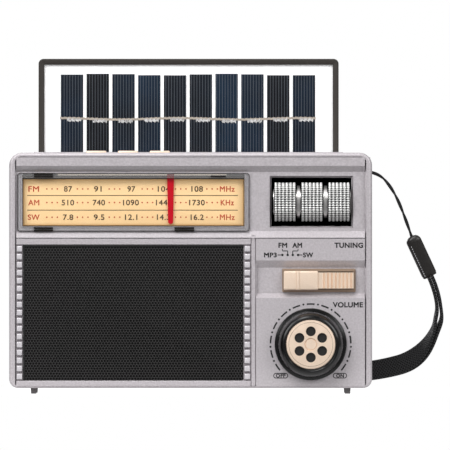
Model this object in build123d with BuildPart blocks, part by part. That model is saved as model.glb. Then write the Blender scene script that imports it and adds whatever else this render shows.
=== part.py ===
from build123d import *
import math
import os

os.makedirs("parts", exist_ok=True)

# Portable receiver. X to the listener's right, Y front to back (front faces -Y),
# Z up from the tips of the feet. Millimetres.

# ---- cabinet ----
BODY_W = 172.0
BODY_H = 111.6
BODY_DEPTH = 56.0
FOOT_H = 2.7
KNOB_PROUD = 11.0
FACE_Y = -(BODY_DEPTH + KNOB_PROUD) / 2 + KNOB_PROUD
BACK_Y = FACE_Y + BODY_DEPTH
FRONT_DEPTH = 26.5
SPLIT_Y = FACE_Y + FRONT_DEPTH
WALL = 2.5
TOP_R = 6.0
BASE_R = 4.4
BODY_Z0 = FOOT_H
BODY_Z1 = BODY_Z0 + BODY_H
SIDE_BORDER = 3.2
BODY_X = BODY_W / 2
IN_X = BODY_X - WALL
IN_Z0 = BODY_Z0 + WALL
IN_Z1 = BODY_Z1 - WALL
FACE_X = BODY_X - SIDE_BORDER

# ---- clearances ----
FIT = 0.05
GAP = 0.3
SLIDE_GAP = 0.35

# ---- face relief ----
DIAL_DEPTH = 2.2
DIAL_Y = FACE_Y + DIAL_DEPTH
FRONT_IN_Y = DIAL_Y + 2.3
DIAL_TOP = BODY_Z1 - 6.4
DIAL_TOP_IN = DIAL_TOP - 2.7
DIAL_LOW = BODY_Z1 - 40.4
DIAL_LOW_IN = DIAL_LOW + 3.3
COLUMN_X0 = FACE_X - 51.8
DIVIDER_W = 2.3
PLATE_Y_IN = FACE_Y + WALL

# ---- speaker side ----
GRILLE_X0 = -FACE_X + 3.2
GRILLE_X1 = COLUMN_X0 - DIVIDER_W - 3.5
GRILLE_Z0 = BODY_Z0 + 3.5
GRILLE_Z1 = DIAL_LOW - 3.3
GRILLE_DEPTH = 1.0
GRILLE_T = 0.6
RIB_W = 3.1
RIB_N = 17
RIB_H = 2.7
SPK_X = (GRILLE_X0 + GRILLE_X1) / 2
SPK_Z = (GRILLE_Z0 + GRILLE_Z1) / 2
SPK_R = 28.5
SPK_OPEN_R = 26.0
SPK_FLANGE = 1.2
MAGNET_R = 15.5

# ---- dial ----
LENS_X0 = -FACE_X + 0.9
LENS_X1 = LENS_X0 + 109.7
LENS_Z1 = DIAL_TOP_IN - 0.5
LENS_Z0 = LENS_Z1 - 27.7
LENS_T = 1.5
LENS_SEAT = 0.3
LENS_BACK_Y = DIAL_Y + LENS_SEAT
WINDOW_LAP = 1.2
WINDOW_TOP_LAP = 0.8
PLATE_LAP = 1.6
PLATE_T = 1.5
PLATE_TOP = LENS_Z1 - 3.1
PLATE_Y = FRONT_IN_Y
POINTER_X = LENS_X0 + 72.4
POINTER_T = 0.8
POINTER_W = 3.4
POINTER_TIP_W = 2.4
POINTER_LEFT = 50.5
POINTER_RIGHT = 14.5
RAIL_R = 0.6
RAIL_Y = FRONT_IN_Y + 1.5
RAIL_Z = LENS_Z1 - 1.5

# ---- tuning ----
DRUM_L = 36.0
DRUM_R = 10.2
DRUM_X = COLUMN_X0 + 26.5
DRUM_Y = FACE_Y + 8.5
DRUM_Z = BODY_Z1 - 23.3
DRUM_SIDE = 1.2
DRUM_WINDOW_H = 22.9
WELL_T = 1.2
WELL_BACK_GAP = 0.8
SHAFT_R = 1.5
SECTION_L = 10.4
NECK_R = 8.6
STUD_H = 0.7
STUD_ROWS = 16
STUD_COLS = 3
PINION_R = 3.6
PINION_L = 4.0
WHEEL_X = DRUM_X - 41.5
WHEEL_REACH = 18.0
WHEEL_R = 19.6
WHEEL_T = 1.5
CORD_R = 15.0
CORD_T = 0.8
PULLEY_T = 2.8
IDLER_R = 4.0
IDLER_X = -FACE_X + 6.8
RIM = 0.8
POT_R = 8.0
POT_SHAFT_R = 2.0

# ---- band slider ----
CHANNEL_TOP = BODY_Z1 - 51.3
CHANNEL_LOW = CHANNEL_TOP - 17.5
CHANNEL_SLOPE = 3.3
CHANNEL_LIP = 1.9
CHANNEL_DEPTH = 2.5
CHANNEL_Y = FACE_Y + CHANNEL_DEPTH
SLIDER_X0 = COLUMN_X0 + 12.6
SLIDER_W = 34.3
SLIDER_H = 10.0
SLIDER_PLAIN = 16.4
SLIDER_T = 3.4
SLIDER_TRAVEL = 7.2
SLIDER_X = SLIDER_X0 + SLIDER_W / 2
SLIDER_Z = CHANNEL_TOP - 9.7
SHIELD_T = 0.4
SHIELD_LAP = 0.5
STEM_W = 4.4
STEM_H = 2.6
SLIDER_RIBS = 8

# ---- volume knob ----
KNOB_X = COLUMN_X0 + 25.75
KNOB_Z = BODY_Z0 + 20.84
KNOB_R = 17.1
KNOB_STEP_R = 14.6
KNOB_GAP = 0.6
KNOB_SKIRT = 3.2
DISC_R = 11.8
DISC_T = 1.0
DISC_HOLE_R = 2.3
DISC_RING_R = 6.3
KNOB_SHAFT_R = 3.0
VOL_POT_R = 8.5
VOL_POT_L = 8.0

# ---- boards and top buttons ----
BOARD_Y = FACE_Y + 23.5
BOARD_T = 1.6
BOSS_R = 2.5
BUTTON_W = 9.7
BUTTON_D = 6.0
BUTTON_PITCH = 15.1
BUTTON_X = -29.8
BUTTON_Y = FACE_Y + 18.5
BUTTON_PROUD = 1.0
BUTTON_GAP = 0.25
BUTTON_TRAVEL = 0.5
SWITCH_H = 4.0
BUTTON_FLANGE = 0.8

# ---- solar panel ----
PANEL_W = 142.5
PANEL_X = -1.1
PANEL_T = 5.0
PANEL_UP = 45.1
PANEL_PIVOT_Z = BODY_Z1 - 11.3
PANEL_BAR = 2.8
PANEL_GAP = 0.5
PANEL_SIDE_GAP = 1.5
PANEL_Y = BACK_Y - PANEL_T / 2 - 0.5
PANEL_TOP = BODY_Z1 + PANEL_UP
PANEL_REACH = PANEL_TOP - PANEL_PIVOT_Z
RECESS_Y = PANEL_Y - PANEL_T / 2 - PANEL_GAP
RECESS_X0 = PANEL_X - PANEL_W / 2 - PANEL_SIDE_GAP
RECESS_X1 = PANEL_X + PANEL_W / 2 + PANEL_SIDE_GAP
RECESS_Z0 = PANEL_PIVOT_Z - PANEL_REACH - 1.6
HINGE_R = 1.2
HINGE_IN = 3.0
HINGE_WALL = 2.2
CELL_N = 10
CELL_W = 10.6
CELL_PITCH = 12.2
CELL_TOP = 7.9
CELL_X0 = -56.2
SHEET_T = 1.2
COVER_T = 0.8

# ---- aerial ----
NOTCH_W = 9.8
NOTCH_DEPTH = 7.2
AERIAL_X = -BODY_X + 4.6
AERIAL_Y = BACK_Y - 3.4
AERIAL_PIVOT_Z = BODY_Z1 - 7.3
AERIAL_R = 3.0
AERIAL_STEP = 0.8
AERIAL_GAP = 0.1
AERIAL_WALL = 0.5
AERIAL_L = 84.0
AERIAL_TRAVEL = 74.0
KNUCKLE_R = 3.2

# ---- battery ----
CELL18_R = 9.2
CELL18_L = 65.0
BATT_Z = BODY_Z0 + 21.3
TRAY_HALF = 37.3
TRAY_WALL = 1.2
TRAY_H = 20.6
TRAY_Y0 = BACK_Y - WALL - 20.4
DOOR_LAP = 2.0
DOOR_T = 1.5
SPRING_L = 8.4

# ---- strap ----
ANCHOR_Y = 12.0
ANCHOR_Z = BODY_Z1 - 8.8
ANCHOR_X = BODY_X - 2.7
ANCHOR_R = 1.1
POCKET_H = 9.0
POCKET_D = 6.0
STRAP_CORD_D = 1.6
WEBBING_D = 5.6
KEEPER_L = 21.6
KEEPER_W = 7.2
KEEPER_T = 4.6


def block(x0, x1, y0, y1, z0, z1, mode=Mode.ADD):
    """A box between two corners."""
    with Locations(((x0 + x1) / 2, (y0 + y1) / 2, (z0 + z1) / 2)):
        Box(abs(x1 - x0), abs(y1 - y0), abs(z1 - z0), mode=mode)


def rod_y(x, z, y0, y1, r, mode=Mode.ADD):
    """A cylinder that runs front to back."""
    with Locations(Location((x, (y0 + y1) / 2, z), (90, 0, 0))):
        Cylinder(r, abs(y1 - y0), mode=mode)


def rod_x(y, z, x0, x1, r, mode=Mode.ADD):
    """A cylinder that runs left to right."""
    with Locations(Location(((x0 + x1) / 2, y, z), (0, 90, 0))):
        Cylinder(r, abs(x1 - x0), mode=mode)


def rod_z(x, y, z0, z1, r, mode=Mode.ADD):
    """An upright cylinder."""
    with Locations((x, y, (z0 + z1) / 2)):
        Cylinder(r, abs(z1 - z0), mode=mode)


def save(piece, name):
    """Label a finished piece and write its STEP file."""
    piece.part.label = name
    export_step(piece.part, "parts/" + name + ".step")


# ======== cabinet halves ========
BOSSES = [(3.0 - IN_X, DIAL_LOW - 1.6), (IN_X - 3.0, IN_Z1 - 4.4)]
BOSSES = BOSSES + [(IN_X - 3.0, IN_Z0 + 3.2), (COLUMN_X0 + 3.6, IN_Z0 + 3.2)]
BOARD_BOSS_Y = DIAL_Y
BUTTON_XS = [BUTTON_X - BUTTON_PITCH, BUTTON_X, BUTTON_X + BUTTON_PITCH]
BUTTON_FLANGE_Z = IN_Z1 - 0.3
BUTTON_FOOT_Z = BUTTON_FLANGE_Z - 1.9
SWITCH_Z = BUTTON_FOOT_Z - BUTTON_TRAVEL - 0.1
BUTTON_BOARD_Z = SWITCH_Z - SWITCH_H
BUTTON_BOARD_X0 = BUTTON_XS[0] - 7.6
BUTTON_BOARD_X1 = BUTTON_XS[2] + 7.6
SLOT_X0 = SLIDER_X - SLIDER_TRAVEL - STEM_W / 2 - 0.5
SLOT_X1 = SLIDER_X + STEM_W / 2 + 0.5
SCREW_R = 1.3
SCREW_HEAD_R = 2.5
SCREW_HEAD = 1.8
PILLAR_R = 3.6
SCREW_TIP_Y = SPLIT_Y - 6.0
SCREW_SEAT_Y = SPLIT_Y + 8.0
PILLAR_Z0 = IN_Z0 + PILLAR_R - 0.9
PILLAR_Z1 = IN_Z1 - PILLAR_R + 0.9
SCREW_X = 16.8 - FACE_X
SCREWS = [(SCREW_X, PILLAR_Z0, BOARD_Y - 15), (COLUMN_X0 - 7.0, PILLAR_Z0, BOARD_Y - 15)]
SCREWS = SCREWS + [(SCREW_X, PILLAR_Z1, BOARD_Y - 8), (COLUMN_X0 + 29.0, PILLAR_Z1, BOARD_Y - 8)]
SOCKETS = [("usb", 28.0, 9.2, 3.4), ("card", 44.0, 1.8, 11.4), ("aux", 60.0, 6.2, 6.2)]
SOCKET_Y = SPLIT_Y - 8.5
WELL_X0 = DRUM_X - DRUM_L / 2 - DRUM_SIDE - WELL_T
WELL_X1 = DRUM_X + DRUM_L / 2 + 0.5 + WELL_T
WELL_Z0 = DRUM_Z - DRUM_WINDOW_H / 2 - 0.8 - WELL_T
WELL_Z1 = DRUM_Z + DRUM_WINDOW_H / 2 + 0.8 + WELL_T

with BuildPart() as front_cabinet:
    with BuildSketch(Plane.XZ.offset(-FACE_Y)) as face_outline:
        with Locations((0, (BODY_Z0 + BODY_Z1) / 2)):
            Rectangle(BODY_W, BODY_H)
        fillet(face_outline.vertices().group_by(Axis.Y)[-1], TOP_R)
        fillet(face_outline.vertices().group_by(Axis.Y)[0], BASE_R)
    extrude(amount=-FRONT_DEPTH)
    fillet(front_cabinet.faces().sort_by(Axis.Y)[0].edges(), 1.2)
    block(-IN_X, IN_X, FRONT_IN_Y, SPLIT_Y, IN_Z0, IN_Z1, Mode.SUBTRACT)
    # sloped recess for the dial and the tuning window
    with BuildSketch(Plane.YZ.offset(-FACE_X)):
        Polygon(
            (FACE_Y - 1, DIAL_LOW - 1.5),
            (DIAL_Y, DIAL_LOW_IN),
            (DIAL_Y, DIAL_TOP_IN),
            (FACE_Y - 1, DIAL_TOP + 1.2),
            align=None,
        )
    extrude(amount=2 * FACE_X, mode=Mode.SUBTRACT)
    # sloped channel for the band slider
    with BuildSketch(Plane.YZ.offset(COLUMN_X0)):
        Polygon(
            (FACE_Y - 1, CHANNEL_LOW - 1.3),
            (CHANNEL_Y, CHANNEL_LOW + CHANNEL_LIP),
            (CHANNEL_Y, CHANNEL_TOP - CHANNEL_SLOPE),
            (FACE_Y - 1, CHANNEL_TOP + 1.3),
            align=None,
        )
    extrude(amount=FACE_X - COLUMN_X0, mode=Mode.SUBTRACT)
    # grooves beside the face plates and the divider
    block(-FACE_X - 0.4, -FACE_X + 0.3, FACE_Y, FACE_Y + 0.8, IN_Z0, IN_Z1, Mode.SUBTRACT)
    block(FACE_X - 0.3, FACE_X + 0.4, FACE_Y, FACE_Y + 0.8, IN_Z0, IN_Z1, Mode.SUBTRACT)
    block(COLUMN_X0 - DIVIDER_W, COLUMN_X0, FACE_Y, FACE_Y + 1, IN_Z0, DIAL_LOW_IN, Mode.SUBTRACT)
    # grille tray and sound opening
    block(
        GRILLE_X0 - RIB_W, GRILLE_X1 + RIB_W, FACE_Y, FACE_Y + GRILLE_DEPTH,
        GRILLE_Z0, GRILLE_Z1, Mode.SUBTRACT,
    )
    rod_y(SPK_X, SPK_Z, FACE_Y - 1, FRONT_IN_Y + 1, SPK_OPEN_R, Mode.SUBTRACT)
    # dial window with the seat of the lens
    block(
        LENS_X0 - 0.15, LENS_X1 + 0.15, FACE_Y - 1, LENS_BACK_Y,
        LENS_Z0 - 0.15, LENS_Z1 + 0.15, Mode.SUBTRACT,
    )
    block(
        LENS_X0 + WINDOW_LAP, LENS_X1 - WINDOW_LAP, FACE_Y, FRONT_IN_Y + 1,
        LENS_Z0 + WINDOW_LAP, LENS_Z1 - WINDOW_TOP_LAP, Mode.SUBTRACT,
    )
    # tuning window, slider slot and knob hole
    block(
        WELL_X0 + WELL_T, WELL_X1 - WELL_T, FACE_Y, FRONT_IN_Y + 1,
        DRUM_Z - DRUM_WINDOW_H / 2, DRUM_Z + DRUM_WINDOW_H / 2, Mode.SUBTRACT,
    )
    block(
        COLUMN_X0 + 2, FACE_X - 1.3, PLATE_Y_IN, FRONT_IN_Y + 1,
        IN_Z0 + 1, CHANNEL_LOW - 1.5, Mode.SUBTRACT,
    )
    block(
        SLOT_X0, SLOT_X1, FACE_Y, FRONT_IN_Y + 1,
        SLIDER_Z - STEM_H / 2 - 0.5, SLIDER_Z + STEM_H / 2 + 0.5, Mode.SUBTRACT,
    )
    rod_y(KNOB_X, KNOB_Z, FACE_Y - 1, FRONT_IN_Y + 1, KNOB_SHAFT_R + 1, Mode.SUBTRACT)
    # button holes in the top and the two hangers of the button board
    for x in BUTTON_XS:
        block(
            x - BUTTON_W / 2 - BUTTON_GAP, x + BUTTON_W / 2 + BUTTON_GAP,
            BUTTON_Y - BUTTON_D / 2 - BUTTON_GAP, BUTTON_Y + BUTTON_D / 2 + BUTTON_GAP,
            IN_Z1 - 1, BODY_Z1 + 1, Mode.SUBTRACT,
        )
    for x in (BUTTON_BOARD_X0, BUTTON_BOARD_X1 - 1.6):
        block(x, x + 1.6, BUTTON_Y - 3, BUTTON_Y + 3, BUTTON_BOARD_Z, IN_Z1 + 1)
    # bosses that carry the main board
    for x, z in BOSSES:
        rod_y(x, z, BOARD_BOSS_Y, BOARD_Y, BOSS_R)
    # screw pillars
    for x, z, y0 in SCREWS:
        rod_y(x, z, y0, SPLIT_Y, PILLAR_R - 0.4)
        rod_y(x, z, SCREW_TIP_Y, SPLIT_Y + 1, SCREW_R, Mode.SUBTRACT)
    # socket openings in the left wall
    for label, z, h, d in SOCKETS:
        block(
            -BODY_X - 1, -IN_X + 1, SOCKET_Y - d / 2 - 0.2, SOCKET_Y + d / 2 + 0.2,
            z - h / 2 - 0.2, z + h / 2 + 0.2, Mode.SUBTRACT,
        )
save(front_cabinet, "front_cabinet")

NOTCH_X = -BODY_X + NOTCH_W
NOTCH_Y = BACK_Y - NOTCH_DEPTH
MID_Y = RECESS_Y - WALL - 1.0
with BuildPart() as rear_cabinet:
    with BuildSketch(Plane.XZ.offset(-SPLIT_Y)) as rear_outline:
        with Locations((0, (BODY_Z0 + BODY_Z1) / 2)):
            Rectangle(BODY_W, BODY_H)
        fillet(rear_outline.vertices().group_by(Axis.Y)[-1], TOP_R)
        fillet(rear_outline.vertices().group_by(Axis.Y)[0], BASE_R)
    extrude(amount=-(BACK_Y - SPLIT_Y))
    fillet(rear_cabinet.faces().sort_by(Axis.Y)[-1].edges(), 1.2)
    block(-IN_X, IN_X, SPLIT_Y, MID_Y, IN_Z0, IN_Z1, Mode.SUBTRACT)
    block(
        NOTCH_X + WALL, IN_X, MID_Y - 1, BACK_Y - WALL,
        IN_Z0, RECESS_Z0 - WALL, Mode.SUBTRACT,
    )
    # screw pillars, bored from the back
    for x, z, y0 in SCREWS:
        rod_y(x, z, SPLIT_Y, MID_Y + 1 if z > RECESS_Z0 else BACK_Y - 1, PILLAR_R)
    # bed of the folded solar panel, open at the top
    block(RECESS_X0, RECESS_X1, RECESS_Y, BACK_Y + 1, RECESS_Z0, BODY_Z1 + 1, Mode.SUBTRACT)
    # corner step that the aerial lies in
    block(-BODY_X - 1, NOTCH_X, NOTCH_Y, BACK_Y + 1, BODY_Z0 - 1, BODY_Z1 + 1, Mode.SUBTRACT)
    # holes of the panel's hinge pins
    rod_x(PANEL_Y, PANEL_PIVOT_Z, RECESS_X0 - HINGE_WALL, RECESS_X0 + 1, HINGE_R, Mode.SUBTRACT)
    rod_x(PANEL_Y, PANEL_PIVOT_Z, RECESS_X1 - 1, RECESS_X1 + HINGE_WALL, HINGE_R, Mode.SUBTRACT)
    # battery door opening with its rebate
    block(
        -TRAY_HALF, TRAY_HALF, BACK_Y - WALL - 1, BACK_Y + 1,
        BATT_Z - TRAY_H / 2, BATT_Z + TRAY_H / 2, Mode.SUBTRACT,
    )
    block(
        -TRAY_HALF - DOOR_LAP - 0.2, TRAY_HALF + DOOR_LAP + 0.2, BACK_Y - DOOR_T, BACK_Y + 1,
        BATT_Z - TRAY_H / 2 - DOOR_LAP - 0.2, BATT_Z + TRAY_H / 2 + DOOR_LAP + 0.2, Mode.SUBTRACT,
    )
    # pocket of the wrist strap in the right wall, backed by a closed boss
    block(
        ANCHOR_X - 4, BODY_X - 0.5, ANCHOR_Y - POCKET_D / 2 - 2, ANCHOR_Y + POCKET_D / 2 + 2,
        ANCHOR_Z - POCKET_H / 2 - 1.5, IN_Z1 + 0.5,
    )
    block(
        ANCHOR_X - 2.5, BODY_X + 1, ANCHOR_Y - POCKET_D / 2, ANCHOR_Y + POCKET_D / 2,
        ANCHOR_Z - POCKET_H / 2, ANCHOR_Z + POCKET_H / 2 - 1, Mode.SUBTRACT,
    )
    rod_y(ANCHOR_X, ANCHOR_Z, ANCHOR_Y - 4.2, ANCHOR_Y + 4.2, ANCHOR_R, Mode.SUBTRACT)
    # low ridge along the top in front of the panel
    block(RECESS_X0 - 1, RECESS_X1 + 1, RECESS_Y - 7, RECESS_Y, BODY_Z1 - 0.5, BODY_Z1 + 0.5)
    for x, z, y0 in SCREWS:
        rod_y(x, z, SPLIT_Y - 1, BACK_Y, SCREW_R + 0.2, Mode.SUBTRACT)
        rod_y(x, z, SCREW_SEAT_Y, BACK_Y + 1, SCREW_HEAD_R + 0.3, Mode.SUBTRACT)
save(rear_cabinet, "rear_cabinet")

FEET = [(-74.4, FACE_Y + 6), (74.4, FACE_Y + 6), (-74.4, BACK_Y - 12), (74.4, BACK_Y - 12)]
with BuildPart() as feet:
    with Locations([(x, y, FOOT_H / 2) for x, y in FEET]):
        Cone(1.25, 1.5, FOOT_H)
save(feet, "feet")

# ======== dial ========
with BuildPart() as dial_lens:
    block(LENS_X0, LENS_X1, LENS_BACK_Y - LENS_T, LENS_BACK_Y, LENS_Z0, LENS_Z1)
    fillet(dial_lens.edges().filter_by(Axis.Y), 1.4)
save(dial_lens, "dial_lens")

DIAL_X0 = LENS_X0 - 0.4
DIAL_X1 = LENS_X1 + 0.4
DIAL_Z0 = LENS_Z0 - PLATE_LAP
with BuildPart() as dial_plate:
    block(DIAL_X0, DIAL_X1, PLATE_Y, PLATE_Y + PLATE_T, DIAL_Z0, PLATE_TOP)
    # two ears at the top corners hold the pointer's rail
    for x in (DIAL_X0, DIAL_X1 - 1.4):
        block(x, x + 1.4, PLATE_Y, PLATE_Y + 3, PLATE_TOP - 4, RAIL_Z + 1.4)
    rod_x(RAIL_Y, RAIL_Z, DIAL_X0 - 1, DIAL_X1 + 1, RAIL_R, Mode.SUBTRACT)
save(dial_plate, "dial_plate")

with BuildPart() as pointer_rail:
    rod_x(RAIL_Y, RAIL_Z, DIAL_X0, DIAL_X1, RAIL_R)
save(pointer_rail, "pointer_rail")

POINTER_Y = LENS_BACK_Y + 0.7
POINTER_Z0 = LENS_Z0 + 3.4
NECK_Z0 = PLATE_TOP + 0.5
NECK_Z1 = LENS_Z1 - WINDOW_TOP_LAP - 0.4
CORD_Z = DRUM_Z + CORD_R
CARRIAGE_W = 6.0
CARRIAGE_Y0 = FRONT_IN_Y + GAP
CARRIAGE_Y1 = RAIL_Y + 1.5
with BuildPart() as pointer:
    with BuildSketch(Plane.XZ.offset(-POINTER_Y)):
        Polygon(
            (POINTER_X - POINTER_TIP_W / 2, POINTER_Z0),
            (POINTER_X + POINTER_TIP_W / 2, POINTER_Z0),
            (POINTER_X + POINTER_W / 2, NECK_Z1),
            (POINTER_X - POINTER_W / 2, NECK_Z1),
            align=None,
        )
    extrude(amount=-POINTER_T)
    block(
        POINTER_X - POINTER_W / 2, POINTER_X + POINTER_W / 2, POINTER_Y, CARRIAGE_Y0 + 1,
        NECK_Z0, NECK_Z1,
    )
    block(
        POINTER_X - CARRIAGE_W / 2, POINTER_X + CARRIAGE_W / 2, CARRIAGE_Y0, CARRIAGE_Y1,
        NECK_Z0, CORD_Z + 1.4,
    )

# ======== tuning drum and drive ========
WHEEL_FACE_Y = DRUM_Y + PINION_R + 0.2
CORD_Y = WHEEL_FACE_Y - PULLEY_T / 2
with pointer:
    block(
        POINTER_X - CARRIAGE_W / 2, POINTER_X + CARRIAGE_W / 2, CARRIAGE_Y1, CORD_Y + 0.7,
        CORD_Z - 1.0, CORD_Z + 1.4,
    )
    block(
        POINTER_X - CARRIAGE_W, POINTER_X + CARRIAGE_W, CORD_Y - 0.7, CORD_Y + 0.7,
        CORD_Z - 1.0, CORD_Z + 0.7, Mode.SUBTRACT,
    )
    rod_x(RAIL_Y, RAIL_Z, POINTER_X - 9, POINTER_X + 9, RAIL_R + 0.1, Mode.SUBTRACT)
save(pointer, "pointer")

with BuildPart() as drum_well:
    block(
        WELL_X0, WELL_X1, FRONT_IN_Y, DRUM_Y + DRUM_R + WELL_BACK_GAP + WELL_T,
        WELL_Z0, WELL_Z1,
    )
    block(
        WELL_X0 + WELL_T, WELL_X1 - WELL_T, FRONT_IN_Y - 1, DRUM_Y + DRUM_R + WELL_BACK_GAP,
        WELL_Z0 + WELL_T, WELL_Z1 - WELL_T, Mode.SUBTRACT,
    )
    rod_x(DRUM_Y, DRUM_Z, WELL_X0 - 1, WELL_X1 + 1, SHAFT_R + FIT, Mode.SUBTRACT)
save(drum_well, "drum_well")

DRUM_X0 = DRUM_X - DRUM_L / 2
DRUM_X1 = DRUM_X + DRUM_L / 2
SECTIONS = [DRUM_X0, DRUM_X - SECTION_L / 2, DRUM_X1 - SECTION_L]
with BuildPart() as tuning_drum:
    rod_x(DRUM_Y, DRUM_Z, DRUM_X0, DRUM_X1, NECK_R)
    for x in SECTIONS:
        rod_x(DRUM_Y, DRUM_Z, x, x + SECTION_L, DRUM_R - STUD_H)
    stud_pitch = SECTION_L / STUD_COLS
    for x in SECTIONS:
        for column in range(STUD_COLS):
            where = x + (column + 0.5) * stud_pitch
            with Locations(Location((where, DRUM_Y, DRUM_Z), (0, 90, 0))):
                with PolarLocations(DRUM_R - STUD_H, STUD_ROWS):
                    Box(2 * STUD_H, 1.6, stud_pitch - 1.2)
    rod_x(DRUM_Y, DRUM_Z, DRUM_X0 - 1, DRUM_X1 + 1, SHAFT_R, Mode.SUBTRACT)
save(tuning_drum, "tuning_drum")

PINION_X0 = WHEEL_X + WHEEL_REACH - PINION_L / 2
with BuildPart() as drum_shaft:
    rod_x(DRUM_Y, DRUM_Z, PINION_X0, WELL_X1 + 1.6, SHAFT_R)
    rod_x(DRUM_Y, DRUM_Z, PINION_X0, PINION_X0 + PINION_L, PINION_R)
save(drum_shaft, "drum_shaft")

POT_Y0 = WHEEL_FACE_Y + WHEEL_T + 1.8
with BuildPart() as tuning_wheel:
    rod_y(WHEEL_X, DRUM_Z, WHEEL_FACE_Y, WHEEL_FACE_Y + WHEEL_T, WHEEL_R)
    rod_y(WHEEL_X, DRUM_Z, WHEEL_FACE_Y - PULLEY_T, WHEEL_FACE_Y, CORD_R + RIM - 0.2)
    rod_y(WHEEL_X, DRUM_Z, WHEEL_FACE_Y, POT_Y0 - 0.3, 4.0)
    with BuildSketch(Plane.XZ.offset(-(CORD_Y - 0.7))):
        with Locations((WHEEL_X, DRUM_Z)):
            Circle(CORD_R + RIM + 1)
            Circle(CORD_R - CORD_T / 2 - 0.1, mode=Mode.SUBTRACT)
    extrude(amount=-1.4, mode=Mode.SUBTRACT)
    rod_y(WHEEL_X, DRUM_Z, WHEEL_FACE_Y, BOARD_Y - 2, POT_SHAFT_R)
save(tuning_wheel, "tuning_wheel")

with BuildPart() as tuning_pot:
    rod_y(WHEEL_X, DRUM_Z, POT_Y0, BOARD_Y, POT_R)
    rod_y(WHEEL_X, DRUM_Z, POT_Y0 - 1, BOARD_Y - 1.7, POT_SHAFT_R + FIT, Mode.SUBTRACT)
save(tuning_pot, "tuning_pot")

IDLER_Z = CORD_Z - IDLER_R
with BuildPart() as idler_pulley:
    rod_y(IDLER_X, IDLER_Z, WHEEL_FACE_Y - PULLEY_T, WHEEL_FACE_Y, IDLER_R + RIM)
    with BuildSketch(Plane.XZ.offset(-(CORD_Y - 0.7))):
        with Locations((IDLER_X, IDLER_Z)):
            Circle(IDLER_R + RIM + 1)
            Circle(IDLER_R - CORD_T / 2 - 0.1, mode=Mode.SUBTRACT)
    extrude(amount=-1.4, mode=Mode.SUBTRACT)
    rod_y(IDLER_X, IDLER_Z, WHEEL_FACE_Y - PULLEY_T - 1, WHEEL_FACE_Y + 1, 1.0 + FIT, Mode.SUBTRACT)
save(idler_pulley, "idler_pulley")

with BuildPart() as idler_axle:
    rod_y(IDLER_X, IDLER_Z, WHEEL_FACE_Y - PULLEY_T - 0.9, BOARD_Y, 1.0)
    rod_y(IDLER_X, IDLER_Z, WHEEL_FACE_Y + GAP, BOARD_Y, 2.2)
    rod_y(
        IDLER_X, IDLER_Z, WHEEL_FACE_Y - PULLEY_T - 0.9, WHEEL_FACE_Y - PULLEY_T - GAP, 1.8
    )
save(idler_axle, "idler_axle")

with BuildPart() as dial_cord:
    with BuildSketch(Plane.XZ.offset(-(CORD_Y - CORD_T / 2))):
        with Locations((WHEEL_X, DRUM_Z)):
            Circle(CORD_R + CORD_T / 2)
        with Locations((IDLER_X, IDLER_Z)):
            Circle(IDLER_R + CORD_T / 2)
        make_hull()
        offset(amount=-CORD_T, mode=Mode.SUBTRACT)
    extrude(amount=-CORD_T)
save(dial_cord, "dial_cord")

# ======== grille and loudspeaker ========
with BuildPart() as speaker_grille:
    block(
        GRILLE_X0 + 0.05, GRILLE_X1 - 0.05, FACE_Y + GRILLE_DEPTH - GRILLE_T,
        FACE_Y + GRILLE_DEPTH, GRILLE_Z0 + 0.05, GRILLE_Z1 - 0.05,
    )
    block(GRILLE_X0 + 0.05, GRILLE_X0 + 1, FACE_Y, FACE_Y + 1, GRILLE_Z0 + 0.05, GRILLE_Z1 - 0.05)
    block(GRILLE_X0 + 0.05, GRILLE_X1 - 0.05, FACE_Y, FACE_Y + 1, GRILLE_Z1 - 1, GRILLE_Z1 - 0.05)
save(speaker_grille, "speaker_grille")

RIB_PITCH = (GRILLE_Z1 - GRILLE_Z0) / RIB_N
for side, x0 in (("left", GRILLE_X0 - RIB_W + 0.05), ("right", GRILLE_X1 + 0.05)):
    x1 = x0 + RIB_W - 0.15
    with BuildPart() as rib_strip:
        block(
            x0, x1, FACE_Y + GRILLE_DEPTH - 0.4, FACE_Y + GRILLE_DEPTH,
            GRILLE_Z0 + 0.05, GRILLE_Z1 - 0.05,
        )
        for row in range(RIB_N):
            z = GRILLE_Z0 + (row + 0.5) * RIB_PITCH
            block(x0, x1, FACE_Y - 0.3, FACE_Y + GRILLE_DEPTH - 0.2, z - RIB_H / 2, z + RIB_H / 2)
    save(rib_strip, "rib_strip_" + side)

SPEAKER_PLANE = Plane(origin=(SPK_X, 0, SPK_Z), x_dir=(1, 0, 0), z_dir=(0, 0, 1))
SPEAKER_AXIS = Axis((SPK_X, 0, SPK_Z), (0, 1, 0))
SPK_Y = FRONT_IN_Y
BASKET_Y = SPK_Y + 12.0
with BuildPart() as speaker_frame:
    with BuildSketch(SPEAKER_PLANE):
        Polygon(
            (SPK_R, SPK_Y), (SPK_R, SPK_Y + SPK_FLANGE), (SPK_R - 3.2, SPK_Y + SPK_FLANGE),
            (MAGNET_R + 1, BASKET_Y), (8, BASKET_Y), (8, BASKET_Y - 1),
            (MAGNET_R + 0.3, BASKET_Y - 1), (SPK_R - 4.4, SPK_Y + 1), (SPK_R - 4.4, SPK_Y),
            align=None,
        )
    revolve(axis=SPEAKER_AXIS)
save(speaker_frame, "speaker_frame")

with BuildPart() as speaker_cone:
    with BuildSketch(SPEAKER_PLANE):
        Polygon(
            (SPK_R - 4.5, SPK_Y + 0.2), (SPK_R - 4.5, SPK_Y + 0.8), (8, BASKET_Y - 3.4),
            (0, BASKET_Y - 5.4), (0, BASKET_Y - 6.2), (7.6, BASKET_Y - 4.4),
            (SPK_R - 5.6, SPK_Y + 0.2),
            align=None,
        )
    revolve(axis=SPEAKER_AXIS)
save(speaker_cone, "speaker_cone")

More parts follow.
